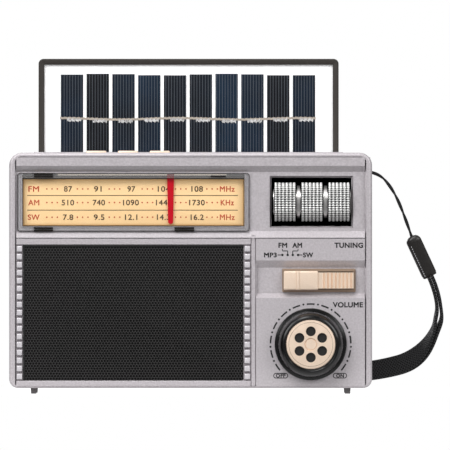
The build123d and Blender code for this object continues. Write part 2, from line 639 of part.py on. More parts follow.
with BuildPart() as speaker_magnet:
    rod_y(SPK_X, SPK_Z, BASKET_Y, BASKET_Y + 9, MAGNET_R)
    rod_y(SPK_X, SPK_Z, BASKET_Y - 3, BASKET_Y + 1, 7.6)
save(speaker_magnet, "speaker_magnet")

# ======== volume knob ========
KNOB_BACK = FACE_Y - KNOB_GAP
KNOB_FRONT = FACE_Y - KNOB_PROUD
KNOB_PLANE = Plane(origin=(KNOB_X, 0, KNOB_Z), x_dir=(1, 0, 0), z_dir=(0, 0, 1))
KNOB_AXIS = Axis((KNOB_X, 0, KNOB_Z), (0, 1, 0))
with BuildPart() as volume_knob:
    with BuildSketch(KNOB_PLANE):
        Polygon(
            (KNOB_SHAFT_R, KNOB_FRONT + 2), (DISC_R, KNOB_FRONT + 2), (DISC_R, KNOB_FRONT),
            (KNOB_STEP_R - 1.6, KNOB_FRONT), (KNOB_STEP_R - 0.2, KNOB_FRONT + 1.4),
            (KNOB_STEP_R + 0.8, KNOB_BACK - KNOB_SKIRT), (KNOB_R - 0.8, KNOB_BACK - KNOB_SKIRT),
            (KNOB_R, KNOB_BACK - KNOB_SKIRT + 0.8), (KNOB_R, KNOB_BACK),
            (KNOB_R - 2.6, KNOB_BACK), (KNOB_R - 4, KNOB_FRONT + 5),
            (KNOB_SHAFT_R + 2.5, KNOB_FRONT + 5), (KNOB_SHAFT_R + 2.5, KNOB_BACK),
            (KNOB_SHAFT_R, KNOB_BACK),
            align=None,
        )
    revolve(axis=KNOB_AXIS)
save(volume_knob, "volume_knob")

with BuildPart() as knob_disc:
    rod_y(KNOB_X, KNOB_Z, KNOB_FRONT + 2 - DISC_T, KNOB_FRONT + 2, DISC_R - 0.1)
    rod_y(KNOB_X, KNOB_Z, KNOB_FRONT + 0.6, KNOB_FRONT + 2, DISC_R - 2.4)
    with Locations(Location((KNOB_X, KNOB_FRONT + 1, KNOB_Z), (90, 0, 0))):
        with PolarLocations(DISC_RING_R, 6, start_angle=90):
            Cylinder(DISC_HOLE_R, 2.4, mode=Mode.SUBTRACT)
save(knob_disc, "knob_disc")

POT_BACK = PLATE_Y_IN + VOL_POT_L
with BuildPart() as volume_shaft:
    rod_y(KNOB_X, KNOB_Z, KNOB_FRONT + 2.2, POT_BACK - 2, KNOB_SHAFT_R)
save(volume_shaft, "volume_shaft")

with BuildPart() as volume_pot:
    rod_y(KNOB_X, KNOB_Z, PLATE_Y_IN, POT_BACK, VOL_POT_R)
    rod_y(KNOB_X, KNOB_Z, PLATE_Y_IN - 1, POT_BACK - 1.5, KNOB_SHAFT_R + FIT, Mode.SUBTRACT)
    # three legs reach back to the main board
    for step in (-5, 0, 5):
        block(
            KNOB_X + step - 0.6, KNOB_X + step + 0.6, POT_BACK - 1, BOARD_Y,
            KNOB_Z - 0.4, KNOB_Z + 0.4,
        )
save(volume_pot, "volume_pot")

# ======== band slider ========
SHIELD_Y = CHANNEL_Y - SLIDE_GAP - SHIELD_T
RIBBED_X0 = SLIDER_X0 + SLIDER_PLAIN + 0.7
RIBBED_PITCH = (SLIDER_W - SLIDER_PLAIN - 0.7) / SLIDER_RIBS
with BuildPart() as band_slider:
    block(
        SLIDER_X0, SLIDER_X0 + SLIDER_PLAIN, SHIELD_Y - SLIDER_T, SHIELD_Y,
        SLIDER_Z - SLIDER_H / 2, SLIDER_Z + SLIDER_H / 2,
    )
    block(
        SLIDER_X0 + SLIDER_PLAIN - 1, SLIDER_X0 + SLIDER_W, SHIELD_Y - SLIDER_T + 1, SHIELD_Y,
        SLIDER_Z - SLIDER_H / 2 + 0.8, SLIDER_Z + SLIDER_H / 2 - 0.8,
    )
    for rib in range(SLIDER_RIBS):
        x = RIBBED_X0 + rib * RIBBED_PITCH
        block(
            x, x + RIBBED_PITCH - 0.8, SHIELD_Y - SLIDER_T - 0.2, SHIELD_Y - 1,
            SLIDER_Z - SLIDER_H / 2 + 0.8, SLIDER_Z + SLIDER_H / 2 - 0.8,
        )
save(band_slider, "band_slider")

SWITCH_Y = BOARD_Y - 9.0
with BuildPart() as slider_shield:
    block(
        SLIDER_X0 - SHIELD_LAP, SLIDER_X0 + SLIDER_W + SHIELD_LAP, SHIELD_Y, SHIELD_Y + SHIELD_T,
        SLIDER_Z - SLIDER_H / 2 - SHIELD_LAP, SLIDER_Z + SLIDER_H / 2 + SHIELD_LAP,
    )
    block(
        SLIDER_X - STEM_W / 2, SLIDER_X + STEM_W / 2, SHIELD_Y + SHIELD_T / 2, SWITCH_Y + 3,
        SLIDER_Z - STEM_H / 2, SLIDER_Z + STEM_H / 2,
    )
save(slider_shield, "slider_shield")

with BuildPart() as band_switch:
    block(
        SLOT_X0 - 5, SLOT_X1 + 5, SWITCH_Y, BOARD_Y,
        SLIDER_Z - STEM_H / 2 - 2.5, SLIDER_Z + STEM_H / 2 + 2.5,
    )
    block(
        SLOT_X0, SLOT_X1, SWITCH_Y - 1, SWITCH_Y + 4,
        SLIDER_Z - STEM_H / 2 - 0.4, SLIDER_Z + STEM_H / 2 + 0.4, Mode.SUBTRACT,
    )
save(band_switch, "band_switch")

# ======== boards ========
BOARD_X = IN_X - 0.6
with BuildPart() as main_board:
    block(-BOARD_X, BOARD_X, BOARD_Y, BOARD_Y + BOARD_T, 70.0, IN_Z1 - 2)
    block(COLUMN_X0 + 1, BOARD_X, BOARD_Y, BOARD_Y + BOARD_T, IN_Z0 + 0.8, 71.0)
    for x, z, y0 in SCREWS:
        rod_y(x, z, BOARD_Y - 1, BOARD_Y + BOARD_T + 1, PILLAR_R + 0.4, Mode.SUBTRACT)
save(main_board, "main_board")

CHIP_X = COLUMN_X0 + 17
CHIPS = [(-30, DRUM_Z - 7, 14, 14, 2.4), (0, DRUM_Z + 1, 8, 5, 1.8), (22, DRUM_Z - 9, 7, 7, 6.0)]
CHIPS = CHIPS + [(CHIP_X, DRUM_Z - 1, 12, 12, 2.0), (CHIP_X, BODY_Z0 + 21.3, 9, 12, 5.0)]
CHIPS = CHIPS + [(CHIP_X + 16, BODY_Z0 + 23.3, 6, 6, 9.0), (CHIP_X + 22, SLIDER_Z - 1.3, 10, 8, 3.0)]
with BuildPart() as board_chips:
    for x, z, w, h, tall in CHIPS:
        block(
            x - w / 2, x + w / 2, BOARD_Y + BOARD_T, BOARD_Y + BOARD_T + tall,
            z - h / 2, z + h / 2,
        )
save(board_chips, "board_chips")

with BuildPart() as button_board:
    block(
        BUTTON_BOARD_X0, BUTTON_BOARD_X1, BUTTON_Y - 5, BUTTON_Y + 4,
        BUTTON_BOARD_Z - 1.4, BUTTON_BOARD_Z,
    )
save(button_board, "button_board")

with BuildPart() as tact_switches:
    for x in BUTTON_XS:
        block(x - 2.6, x + 2.6, BUTTON_Y - 2.6, BUTTON_Y + 2.6, BUTTON_BOARD_Z, SWITCH_Z - 0.8)
        rod_z(x, BUTTON_Y, SWITCH_Z - 1, SWITCH_Z, 1.4)
save(tact_switches, "tact_switches")

for index, x in enumerate(BUTTON_XS):
    with BuildPart() as button:
        block(
            x - BUTTON_W / 2, x + BUTTON_W / 2, BUTTON_Y - BUTTON_D / 2, BUTTON_Y + BUTTON_D / 2,
            BUTTON_FLANGE_Z - 0.5, BODY_Z1 + BUTTON_PROUD,
        )
        fillet(button.edges().group_by(Axis.Z)[-1], 0.5)
        block(
            x - BUTTON_W / 2 - BUTTON_FLANGE, x + BUTTON_W / 2 + BUTTON_FLANGE,
            BUTTON_Y - BUTTON_D / 2 - BUTTON_FLANGE, BUTTON_Y + BUTTON_D / 2 + BUTTON_FLANGE,
            BUTTON_FLANGE_Z - 1.1, BUTTON_FLANGE_Z,
        )
        rod_z(x, BUTTON_Y, BUTTON_FOOT_Z, BUTTON_FLANGE_Z - 0.5, 2.2)
    save(button, "top_button_" + str(index + 1))

SOCKET_BOARD_X = -IN_X + 6.5
with BuildPart() as socket_board:
    block(SOCKET_BOARD_X, SOCKET_BOARD_X + 1.4, SOCKET_Y - 8, SOCKET_Y + 8, 20, 68)
    # two rails stand the board off the side wall
    for z in (21.0, 52.0):
        block(-IN_X, SOCKET_BOARD_X + 0.5, SOCKET_Y - 7.8, SOCKET_Y - 6.4, z, z + 2)
save(socket_board, "socket_board")

with BuildPart() as side_sockets:
    for label, z, h, d in SOCKETS:
        block(-BODY_X + 0.4, SOCKET_BOARD_X, SOCKET_Y - d / 2, SOCKET_Y + d / 2, z - h / 2, z + h / 2)
        if label == "aux":
            rod_x(SOCKET_Y, z, -BODY_X - 1, SOCKET_BOARD_X - 1.2, 1.8, Mode.SUBTRACT)
        if label == "usb":
            block(
                -BODY_X - 1, SOCKET_BOARD_X - 2, SOCKET_Y - 1.2, SOCKET_Y + 1.2,
                z - 3.9, z + 3.9, Mode.SUBTRACT,
            )
        if label == "card":
            block(
                -BODY_X - 1, SOCKET_BOARD_X - 1.5, SOCKET_Y - 5.4, SOCKET_Y + 5.4,
                z - 0.4, z + 0.4, Mode.SUBTRACT,
            )
save(side_sockets, "side_sockets")

# ======== ferrite aerial ========
FERRITE_Y = MID_Y - 8.5
FERRITE_Z = IN_Z1 - 8.0
with BuildPart() as ferrite_rod:
    rod_x(FERRITE_Y, FERRITE_Z, -55, 45, 4.5)
save(ferrite_rod, "ferrite_rod")

with BuildPart() as ferrite_coil:
    rod_x(FERRITE_Y, FERRITE_Z, 8, 36, 6)
    rod_x(FERRITE_Y, FERRITE_Z, 7, 37, 4.5, Mode.SUBTRACT)
save(ferrite_coil, "ferrite_coil")

with BuildPart() as ferrite_clips:
    for x in (-46, -2):
        block(x, x + 4, FERRITE_Y - 6, FERRITE_Y + 6, FERRITE_Z - 6, IN_Z1)
        rod_x(FERRITE_Y, FERRITE_Z, x - 1, x + 5, 4.5, Mode.SUBTRACT)
save(ferrite_clips, "ferrite_clips")

# ======== battery ========
with BuildPart() as battery_tray:
    block(
        -TRAY_HALF - TRAY_WALL, TRAY_HALF + TRAY_WALL, TRAY_Y0, BACK_Y - WALL,
        BATT_Z - TRAY_H / 2 - TRAY_WALL, BATT_Z + TRAY_H / 2 + TRAY_WALL,
    )
    block(
        -TRAY_HALF, TRAY_HALF, TRAY_Y0 + TRAY_WALL, BACK_Y,
        BATT_Z - TRAY_H / 2, BATT_Z + TRAY_H / 2, Mode.SUBTRACT,
    )
save(battery_tray, "battery_tray")

CELL18_Y = TRAY_Y0 + TRAY_WALL + CELL18_R + 0.2
CELL18_X1 = TRAY_HALF - 0.6
with BuildPart() as battery_cell:
    rod_x(CELL18_Y, BATT_Z, CELL18_X1 - CELL18_L, CELL18_X1, CELL18_R)
    fillet(battery_cell.edges(), 0.8)
save(battery_cell, "battery_cell")

with BuildPart() as battery_contacts:
    block(CELL18_X1, TRAY_HALF, CELL18_Y - 4, CELL18_Y + 4, BATT_Z - 5, BATT_Z + 5)
    block(-TRAY_HALF, -TRAY_HALF + 0.6, CELL18_Y - 4, CELL18_Y + 4, BATT_Z - 5, BATT_Z + 5)
    rod_x(CELL18_Y, BATT_Z, -TRAY_HALF + 0.6, CELL18_X1 - CELL18_L, 3.6)
    rod_x(CELL18_Y, BATT_Z, -TRAY_HALF + 0.6, CELL18_X1 - CELL18_L, 2.8, Mode.SUBTRACT)
save(battery_contacts, "battery_contacts")

with BuildPart() as battery_door:
    block(
        -TRAY_HALF - DOOR_LAP, TRAY_HALF + DOOR_LAP, BACK_Y - DOOR_T, BACK_Y,
        BATT_Z - TRAY_H / 2 - DOOR_LAP, BATT_Z + TRAY_H / 2 + DOOR_LAP,
    )
    for step in (-3, 0, 3):
        block(-6, 6, BACK_Y - 0.5, BACK_Y + 1, BATT_Z + step - 0.5, BATT_Z + step + 0.5, Mode.SUBTRACT)
save(battery_door, "battery_door")

with BuildPart() as cabinet_screws:
    for x, z, y0 in SCREWS:
        rod_y(x, z, SCREW_TIP_Y, SCREW_SEAT_Y, SCREW_R)
        rod_y(x, z, SCREW_SEAT_Y, SCREW_SEAT_Y + SCREW_HEAD, SCREW_HEAD_R)
save(cabinet_screws, "cabinet_screws")

# ======== solar panel ========
PANEL_X0 = PANEL_X - PANEL_W / 2
PANEL_X1 = PANEL_X + PANEL_W / 2
FRAME_Y0 = PANEL_Y - PANEL_T / 2
FRAME_Y1 = PANEL_Y + PANEL_T / 2
HINGE_BAR = 6.2
SHEET_Y0 = FRAME_Y0 + 1.4
with BuildPart() as panel_frame:
    block(PANEL_X0, PANEL_X1, FRAME_Y0, FRAME_Y1, PANEL_PIVOT_Z, PANEL_TOP)
    fillet(panel_frame.edges().filter_by(Axis.Y).group_by(Axis.Z)[-1], 2.4)
    rod_x(PANEL_Y, PANEL_PIVOT_Z, PANEL_X0, PANEL_X1, PANEL_T / 2)
    block(
        PANEL_X0 + PANEL_BAR, PANEL_X1 - PANEL_BAR, FRAME_Y0 - 1, SHEET_Y0 + SHEET_T,
        PANEL_PIVOT_Z + HINGE_BAR, PANEL_TOP - PANEL_BAR, Mode.SUBTRACT,
    )
    for x in (PANEL_X0, PANEL_X1):
        rod_x(PANEL_Y, PANEL_PIVOT_Z, x - HINGE_IN - 0.3, x + HINGE_IN + 0.3, HINGE_R + FIT, Mode.SUBTRACT)
save(panel_frame, "panel_frame")

with BuildPart() as panel_backsheet:
    block(
        PANEL_X0 + PANEL_BAR, PANEL_X1 - PANEL_BAR, SHEET_Y0, SHEET_Y0 + SHEET_T,
        PANEL_PIVOT_Z + HINGE_BAR, PANEL_TOP - PANEL_BAR,
    )
save(panel_backsheet, "panel_backsheet")

CELL_Z1 = PANEL_TOP - CELL_TOP
CELL_Z0 = PANEL_PIVOT_Z + HINGE_BAR + 2.3
BUS_Z = CELL_Z1 - 21.8
with BuildPart() as solar_cells:
    for index in range(CELL_N):
        x = CELL_X0 + PANEL_X + index * CELL_PITCH - CELL_W / 2 + 1.55
        block(x, x + CELL_W, SHEET_Y0 - 0.3, SHEET_Y0, CELL_Z0, CELL_Z1)
    # the soldered ribbon that joins the cells
    block(
        CELL_X0 + PANEL_X - 3, CELL_X0 + PANEL_X + CELL_N * CELL_PITCH - 9,
        SHEET_Y0 - 0.5, SHEET_Y0 - 0.2, BUS_Z - 0.9, BUS_Z + 0.9,
    )
save(solar_cells, "solar_cells")

with BuildPart() as panel_cover:
    block(
        PANEL_X0 + PANEL_BAR, PANEL_X1 - PANEL_BAR, SHEET_Y0 - 0.5 - COVER_T, SHEET_Y0 - 0.5,
        PANEL_PIVOT_Z + HINGE_BAR, PANEL_TOP - PANEL_BAR,
    )
save(panel_cover, "panel_cover")

with BuildPart() as panel_hinge_pins:
    rod_x(PANEL_Y, PANEL_PIVOT_Z, RECESS_X0 - HINGE_WALL, PANEL_X0 + HINGE_IN, HINGE_R)
    rod_x(PANEL_Y, PANEL_PIVOT_Z, PANEL_X1 - HINGE_IN, RECESS_X1 + HINGE_WALL, HINGE_R)
save(panel_hinge_pins, "panel_hinge_pins")

# ======== telescopic aerial ========
BLOCK_Y = AERIAL_Y - AERIAL_R - 0.5
KNUCKLE_L = 2 * AERIAL_R
AERIAL_TOP = AERIAL_PIVOT_Z - KNUCKLE_R - 0.2
with BuildPart() as aerial_pivot:
    rod_y(AERIAL_X, AERIAL_PIVOT_Z, NOTCH_Y, AERIAL_Y + AERIAL_R - 0.2, 1.2)
    rod_y(AERIAL_X, AERIAL_PIVOT_Z, AERIAL_Y + AERIAL_R - 0.2 - 0.8, AERIAL_Y + AERIAL_R - 0.1, 2.0)
save(aerial_pivot, "aerial_pivot")

with BuildPart() as aerial_knuckle:
    rod_y(AERIAL_X, AERIAL_PIVOT_Z, NOTCH_Y + GAP, AERIAL_Y + AERIAL_R - 1.2, KNUCKLE_R)
    block(
        AERIAL_X - 2.2, AERIAL_X + 2.2, NOTCH_Y + GAP + 0.6, AERIAL_Y + AERIAL_R - 1.2,
        AERIAL_TOP - 1.5, AERIAL_PIVOT_Z,
    )
    rod_y(AERIAL_X, AERIAL_PIVOT_Z, NOTCH_Y - 1, BACK_Y + 1, 1.2 + FIT, Mode.SUBTRACT)
save(aerial_knuckle, "aerial_knuckle")

TUBE_TOP = AERIAL_TOP - 1.5
for index in range(4):
    outer = AERIAL_R - index * AERIAL_STEP
    bottom = TUBE_TOP - AERIAL_L - index * 1.2
    with BuildPart() as tube:
        rod_z(AERIAL_X, AERIAL_Y, bottom, TUBE_TOP - index * 0.6, outer)
        if index < 3:
            inner = outer - AERIAL_STEP + AERIAL_GAP
            rod_z(AERIAL_X, AERIAL_Y, bottom - 1, TUBE_TOP - 0.5, inner, Mode.SUBTRACT)
        else:
            rod_z(AERIAL_X, AERIAL_Y, bottom - 2.4, bottom, AERIAL_R - 0.2)
    save(tube, "aerial_tube_" + str(index + 1))

# ======== wrist strap ========
with BuildPart() as strap_pin:
    rod_y(ANCHOR_X, ANCHOR_Z, ANCHOR_Y - 4.2, ANCHOR_Y + 4.2, ANCHOR_R)
save(strap_pin, "strap_pin")

KEEPER_A = Vector(105.2, 17.6, 74.8)
KEEPER_B = Vector(114.1, 22.6, 55.8)
KEEPER_DIR = (KEEPER_B - KEEPER_A).normalized()
KEEPER_END = KEEPER_A + KEEPER_DIR * KEEPER_L
CORD_POINTS = [
    Vector(ANCHOR_X, ANCHOR_Y, ANCHOR_Z),
    Vector(89.6, 12.3, 103.7),
    Vector(96.2, 13.6, 96.0),
    Vector(101.3, 15.4, 85.0),
    KEEPER_A,
]
WEB_POINTS = [
    KEEPER_END,
    KEEPER_END + KEEPER_DIR * 9.0,
    Vector(117.6, 29.6, 33.6),
    Vector(107.6, 34.6, 17.0),
    Vector(90.0, 40.6, 10.9),
    Vector(68.0, 44.2, 5.4),
    Vector(44.0, 47.0, 4.8),
    Vector(20.0, 45.0, 4.9),
]


def bend_radii(points):
    """Arc at each bend: 0.45 of the shorter run over the tangent of half the turn."""
    found = []
    for before, here, after in zip(points, points[1:], points[2:]):
        run_in = here - before
        run_out = after - here
        half = math.radians(run_in.get_angle(run_out)) / 2
        found.append(0.45 * min(run_in.length, run_out.length) / math.tan(half))
    return found


for name, points, diameter in (
    ("strap_cord", CORD_POINTS, STRAP_CORD_D),
    ("strap_webbing", WEB_POINTS, WEBBING_D),
):
    radii = bend_radii(points)
    with BuildPart() as tube:
        with BuildLine() as route:
            FilletPolyline(*points, radius=radii)
        with BuildSketch(Plane(origin=points[0], z_dir=points[1] - points[0])):
            Circle(diameter / 2)
        sweep(path=route.wire())
    length = route.wire().length
    section = math.pi * diameter**2 / 4
    print(name, "length", round(length, 2), "radii", [round(r, 1) for r in radii])
    print(name, "volume over section x length", round(tube.part.volume / section / length, 4))
    save(tube, name)

with BuildPart() as strap_keeper:
    with BuildSketch(Plane(origin=KEEPER_A, x_dir=(1, 0, 0.46), z_dir=KEEPER_DIR)):
        RectangleRounded(KEEPER_W, KEEPER_T, 1.4)
    extrude(amount=KEEPER_L)
save(strap_keeper, "strap_keeper")
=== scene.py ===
import math

import bmesh
import bpy
import numpy as np
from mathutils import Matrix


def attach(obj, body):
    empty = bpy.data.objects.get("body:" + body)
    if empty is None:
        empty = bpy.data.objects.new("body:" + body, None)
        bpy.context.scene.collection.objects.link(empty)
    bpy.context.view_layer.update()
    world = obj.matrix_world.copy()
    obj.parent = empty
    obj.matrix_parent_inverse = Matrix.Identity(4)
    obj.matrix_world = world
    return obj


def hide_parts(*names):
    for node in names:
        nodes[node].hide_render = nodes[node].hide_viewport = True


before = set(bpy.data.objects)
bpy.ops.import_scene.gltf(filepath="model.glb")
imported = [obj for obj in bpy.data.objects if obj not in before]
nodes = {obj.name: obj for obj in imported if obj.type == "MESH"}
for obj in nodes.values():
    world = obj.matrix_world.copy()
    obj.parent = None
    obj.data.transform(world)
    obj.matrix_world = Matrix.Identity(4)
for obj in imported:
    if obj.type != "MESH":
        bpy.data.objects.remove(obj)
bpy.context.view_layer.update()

scene = bpy.context.scene

# Layout in millimetres, with X to the right, Y to the back and Z up; mesh_piece turns it to metres.
# The cabinet: front face, half width, underside, top, and where its two halves meet.
FACE = -22.5
SIDE = 86.0
BASE = 2.7
TOP = 114.3
SPLIT = 4.0
# The front's lower levels: the dial's recess, the slider's channel, the rim round the face, and the
# backs of the face plates, of that rim and of the grille's surround.
FLOOR_Y = -20.3
CHANNEL_Y = -20.0
RIM_Y = -19.0
PLATE_BACK = -18.1
RIM_BACK = -17.9
SURROUND_BACK = -18.0
# Boxes are (left, right, bottom, top): lens, dial card, drum window and slider skirt. The rib strips
# have a foot and a head.
LENS = (-82.2, 27.9, 76.9, 104.7)
DIAL = (-79.3, 25.1, 79.9, 101.7)
WINDOW = (38.3, 76.15, 79.45, 102.4)
SLIDE = (43.4, 78.2, 48.2, 59.3)
RIB_FOOT, RIB_HEAD = 6.3, 70.6
# Axes: the knob's as (x, z), the drum's as (middle x, y, z).
KNOB = (56.9, 23.5)
DRUM = (57.55, -14.0, 90.95)
# The solar panel's box, and its ten cells.
PANEL = (-72.8, 70.6, 100.5, 159.4)
CELLS = 10
CELL_PITCH = 12.32
FIRST_CELL = -56.85
# Surfaces of the print on the dial card and on the plates, and how thick the print is.
CARD_PRINT = -18.52
PLATE_PRINT = FACE - 0.03
PRINT_THICK = 0.05
# How much the dial's plain lettering and the plates' bold lettering thicken the built-in face.
PLAIN_WEIGHT = 0.016
BOLD_WEIGHT = 0.041
# The wrist strap: its anchor, the stitched tab's two ends, and the routes, with their points listed.
ANCHOR = (83.3, 12.0, 105.5)
KEEPER_LONG = 21.6
KEEPER_TOP = np.array((105.2, 17.6, 74.8))
KEEPER_FOOT = np.array((114.1, 22.6, 55.8))
KEEPER_RUN = (KEEPER_FOOT - KEEPER_TOP) / np.linalg.norm(KEEPER_FOOT - KEEPER_TOP)
KEEPER_END = KEEPER_TOP + KEEPER_RUN * KEEPER_LONG
CORD_ROUTE = [ANCHOR, (89.5, 12.3, 105.0), (96.4, 13.6, 96.9), (101.5, 15.4, 85.6), tuple(KEEPER_TOP)]
WEB_ROUTE = [
    tuple(KEEPER_END), tuple(KEEPER_END + KEEPER_RUN * 9.0), (119.2, 29.6, 32.8),
    (108.8, 34.6, 15.6), (90.0, 40.6, 10.4), (68.0, 44.2, 8.7), (44.0, 46.4, 8.3), (20.0, 45.0, 8.1),
]


# ---------------------------------------------------------------- camera and light
# A long lens 6 m in front of the radio, level with half its height.
eye = bpy.data.cameras.new("studio_camera")
eye.lens = 1013.0
eye.sensor_width = 36.0
eye.clip_end = 40.0
camera = bpy.data.objects.new("studio_camera", eye)
camera.location = (0.0163, -6.0225, 0.0800)
camera.rotation_euler = (math.pi / 2, 0, 0)
scene.collection.objects.link(camera)
scene.camera = camera
scene.view_settings.view_transform = "Standard"


def lamp(name, place, aim, size, watts):
    """A square soft box at place, turned to aim."""
    light = bpy.data.lights.new(name, "AREA")
    light.size = size
    light.energy = watts
    obj = bpy.data.objects.new(name, light)
    obj.location = place
    away = np.array(place) - np.array(aim)
    flat = math.hypot(away[0], away[1])
    obj.rotation_euler = (math.atan2(flat, away[2]), 0, math.atan2(away[1], away[0]) + math.pi / 2)
    scene.collection.objects.link(obj)


# A key and two wide soft boxes in front, and weak ones overhead and behind.
lamp("key_softbox", (-0.35, -1.0, 1.25), (0, 0, 0.09), 0.8, 14)
lamp("left_softbox", (-1.4, -1.6, 1.05), (0, 0, 0.09), 1.2, 20.5)
lamp("right_softbox", (1.4, -1.6, 1.0), (0, 0, 0.09), 1.2, 18.5)
lamp("top_softbox", (0.1, 0.1, 1.4), (0, 0, 0.07), 1.0, 3)
lamp("back_softbox", (-0.4, 1.5, 0.6), (0, 0, 0.07), 1.0, 12)


# ---------------------------------------------------------------- node and mesh tools
def linear(code):
    """sRGB hex to linear: c / 12.92 below 0.04045, else ((c + 0.055) / 1.055) ** 2.4."""
    c = np.array([int(code[i:i + 2], 16) for i in (0, 2, 4)]) / 255
    c = np.where(c <= 0.04045, c / 12.92, ((c + 0.055) / 1.055) ** 2.4)
    return (float(c[0]), float(c[1]), float(c[2]), 1.0)


def add(tree, kind, inputs=None, **settings):
    """Adds one shader node, sets it up, and gives each input a value or a link.

    A node given as an input stands for its first output."""
    made = tree.nodes.new("ShaderNode" + kind)
    for key, value in settings.items():
        setattr(made, key, value)
    for key, value in (inputs or {}).items():
        if isinstance(value, bpy.types.Node):
            value = value.outputs[0]
        if isinstance(value, bpy.types.NodeSocket):
            tree.links.new(value, made.inputs[key])
        else:
            made.inputs[key].default_value = value
    return made


world = bpy.data.worlds.new("studio_air")
scene.world = world
world.use_nodes = True
air = world.node_tree
air.nodes.clear()
seen = add(air, "Background", {"Color": (1, 1, 1, 1), "Strength": 1.0})
felt = add(air, "Background", {"Color": (0.98, 0.985, 1, 1), "Strength": 0.28})
rays = add(air, "LightPath")
both = add(air, "MixShader", {0: rays.outputs["Is Camera Ray"], 1: felt, 2: seen})
add(air, "OutputWorld", {"Surface": both})


def material(name, colours, grain_mm, rough, pit=0.0, pattern=None, **shader):
    """A moulded or metal finish: noise of the given grain mixes two colours and roughens the gloss.

    colours is a pair of hex codes, rough a pair of roughness values, pit the bump height in mm."""
    made = bpy.data.materials.new(name)
    made.use_nodes = True
    tree = made.node_tree
    tree.nodes.clear()
    where = add(tree, "TexCoord")
    noise = add(
        tree, "TexNoise",
        {"Vector": where.outputs["Object"], "Scale": 1000 / grain_mm, "Detail": 3.0, "Roughness": 0.6},
    )
    tone = add(
        tree, "Mix", {0: noise, 6: linear(colours[0]), 7: linear(colours[1])},
        data_type="RGBA",
    )
    gloss = add(
        tree, "MapRange",
        {"Value": noise, "From Min": 0.3, "From Max": 0.7, "To Min": rough[0], "To Max": rough[1]},
    )
    skin = add(
        tree, "BsdfPrincipled",
        {"Base Color": tone.outputs[2], "Roughness": gloss, **shader},
    )
    if pit:
        bump = add(
            tree, "Bump",
            {"Height": noise, "Strength": 0.5, "Distance": pit * 0.001},
        )
        tree.links.new(bump.outputs[0], skin.inputs["Normal"])
    add(tree, "OutputMaterial", {"Surface": skin})
    if pattern:
        pattern(tree, where, skin, tone)
    return made


def quads(rows, columns, loop_rows=False, loop_columns=False):
    """Quads of a grid of rows by columns; a looped direction joins its last line to its first."""
    i, j = np.meshgrid(
        np.arange(rows if loop_rows else rows - 1),
        np.arange(columns if loop_columns else columns - 1), indexing="ij",
    )
    down, right = (i + 1) % rows, (j + 1) % columns
    corners = [i * columns + j, down * columns + j, down * columns + right, i * columns + right]
    return np.stack(corners, -1).reshape(-1, 4).tolist()


def closed(rows):
    """Rows of points skinned one to the next, each row joined end to end, with both end rows filled in."""
    n = len(rows[0])
    last = (len(rows) - 1) * n
    faces = quads(len(rows), n, loop_columns=True)
    faces += [list(range(n))[::-1], list(range(last, last + n))]
    return np.concatenate(rows), faces


def merged(parts):
    """Joins (points, faces) pairs into one pair."""
    points, faces, count = [], [], 0
    for p, f in parts:
        points.append(np.asarray(p, float).reshape(-1, 3))
        faces += [[k + count for k in face] for face in f]
        count += len(points[-1])
    return np.concatenate(points), faces


def outward(mesh, weld):
    """Turns every face outwards, after joining points that coincide where weld is set."""
    work = bmesh.new()
    work.from_mesh(mesh)
    if weld:
        bmesh.ops.remove_doubles(work, verts=work.verts, dist=1e-7)
    bmesh.ops.recalc_face_normals(work, faces=work.faces)
    work.to_mesh(mesh)
    work.free()


def mesh_piece(name, shape, skin, body="cabinet", stands_for=None, slot=None, crease=35, uv=None):
    """Puts (points in mm, faces) into a new object at the origin that rides on body.

    Edges sharper than crease degrees stay sharp. uv, one pair for each point, goes to the material."""
    points, faces = shape
    mesh = bpy.data.meshes.new(name)
    mesh.from_pydata((np.asarray(points) * 0.001).tolist(), [], faces)
    mesh.materials.append(skin)
    if uv is not None:
        layer = mesh.uv_layers.new(name="along")
        index = np.empty(len(mesh.loops), int)
        mesh.loops.foreach_get("vertex_index", index)
        layer.data.foreach_set("uv", np.asarray(uv, float)[index].ravel())
    else:
        outward(mesh, weld=True)
    mesh.shade_smooth()
    mesh.set_sharp_from_angle(angle=math.radians(crease))
    obj = bpy.data.objects.new(name, mesh)
    scene.collection.objects.link(obj)
    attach(obj, body)
    if stands_for:
        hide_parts(stands_for)
    return obj


def corner_line(box, radii, inset=0.0, steps=7):
    """Closed line round a rectangle: corner k is its centre plus r (cos a, sin a) over the k-th quarter."""
    x0, x1, z0, z1 = box[0] + inset, box[1] - inset, box[2] + inset, box[3] - inset
    made = []
    for k, r in enumerate(radii):
        r = max(r - inset, 0.02)
        a = np.linspace(k, k + 1, steps) * math.pi / 2
        cx = x1 - r if k in (0, 3) else x0 + r
        cz = z1 - r if k in (0, 1) else z0 + r
        made.append(np.stack([cx + r * np.cos(a), cz + r * np.sin(a)], 1))
    return np.concatenate(made)


def plate(box, radii, profile, ring=False, steps=7):
    """A profile of (inset, y) pairs carried round a rectangle: a closed ring, or capped flat at its ends."""
    if np.isscalar(radii):
        radii = (radii,) * 4
    rows = [np.insert(corner_line(box, radii, inset, steps), 1, y, 1) for inset, y in profile]
    if ring:
        return np.concatenate(rows), quads(len(rows), len(rows[0]), loop_rows=True, loop_columns=True)
    return closed(rows)


def edge(front, back, r, steps=3):
    """Profile of a plate: up from the back, then a quarter circle of radius r on to the front."""
    a = np.linspace(0, math.pi / 2, steps + 1)
    turn = [(r * (1 - math.cos(t)), front + r * (1 - math.sin(t))) for t in a]
    return [(0.0, back)] + turn


def bar(x0, x1, section):
    """A closed section of (y, z) points carried straight from x0 to x1."""
    section = np.asarray(section, float)
    return closed([np.insert(section, 0, x, 1) for x in (x0, x1)])


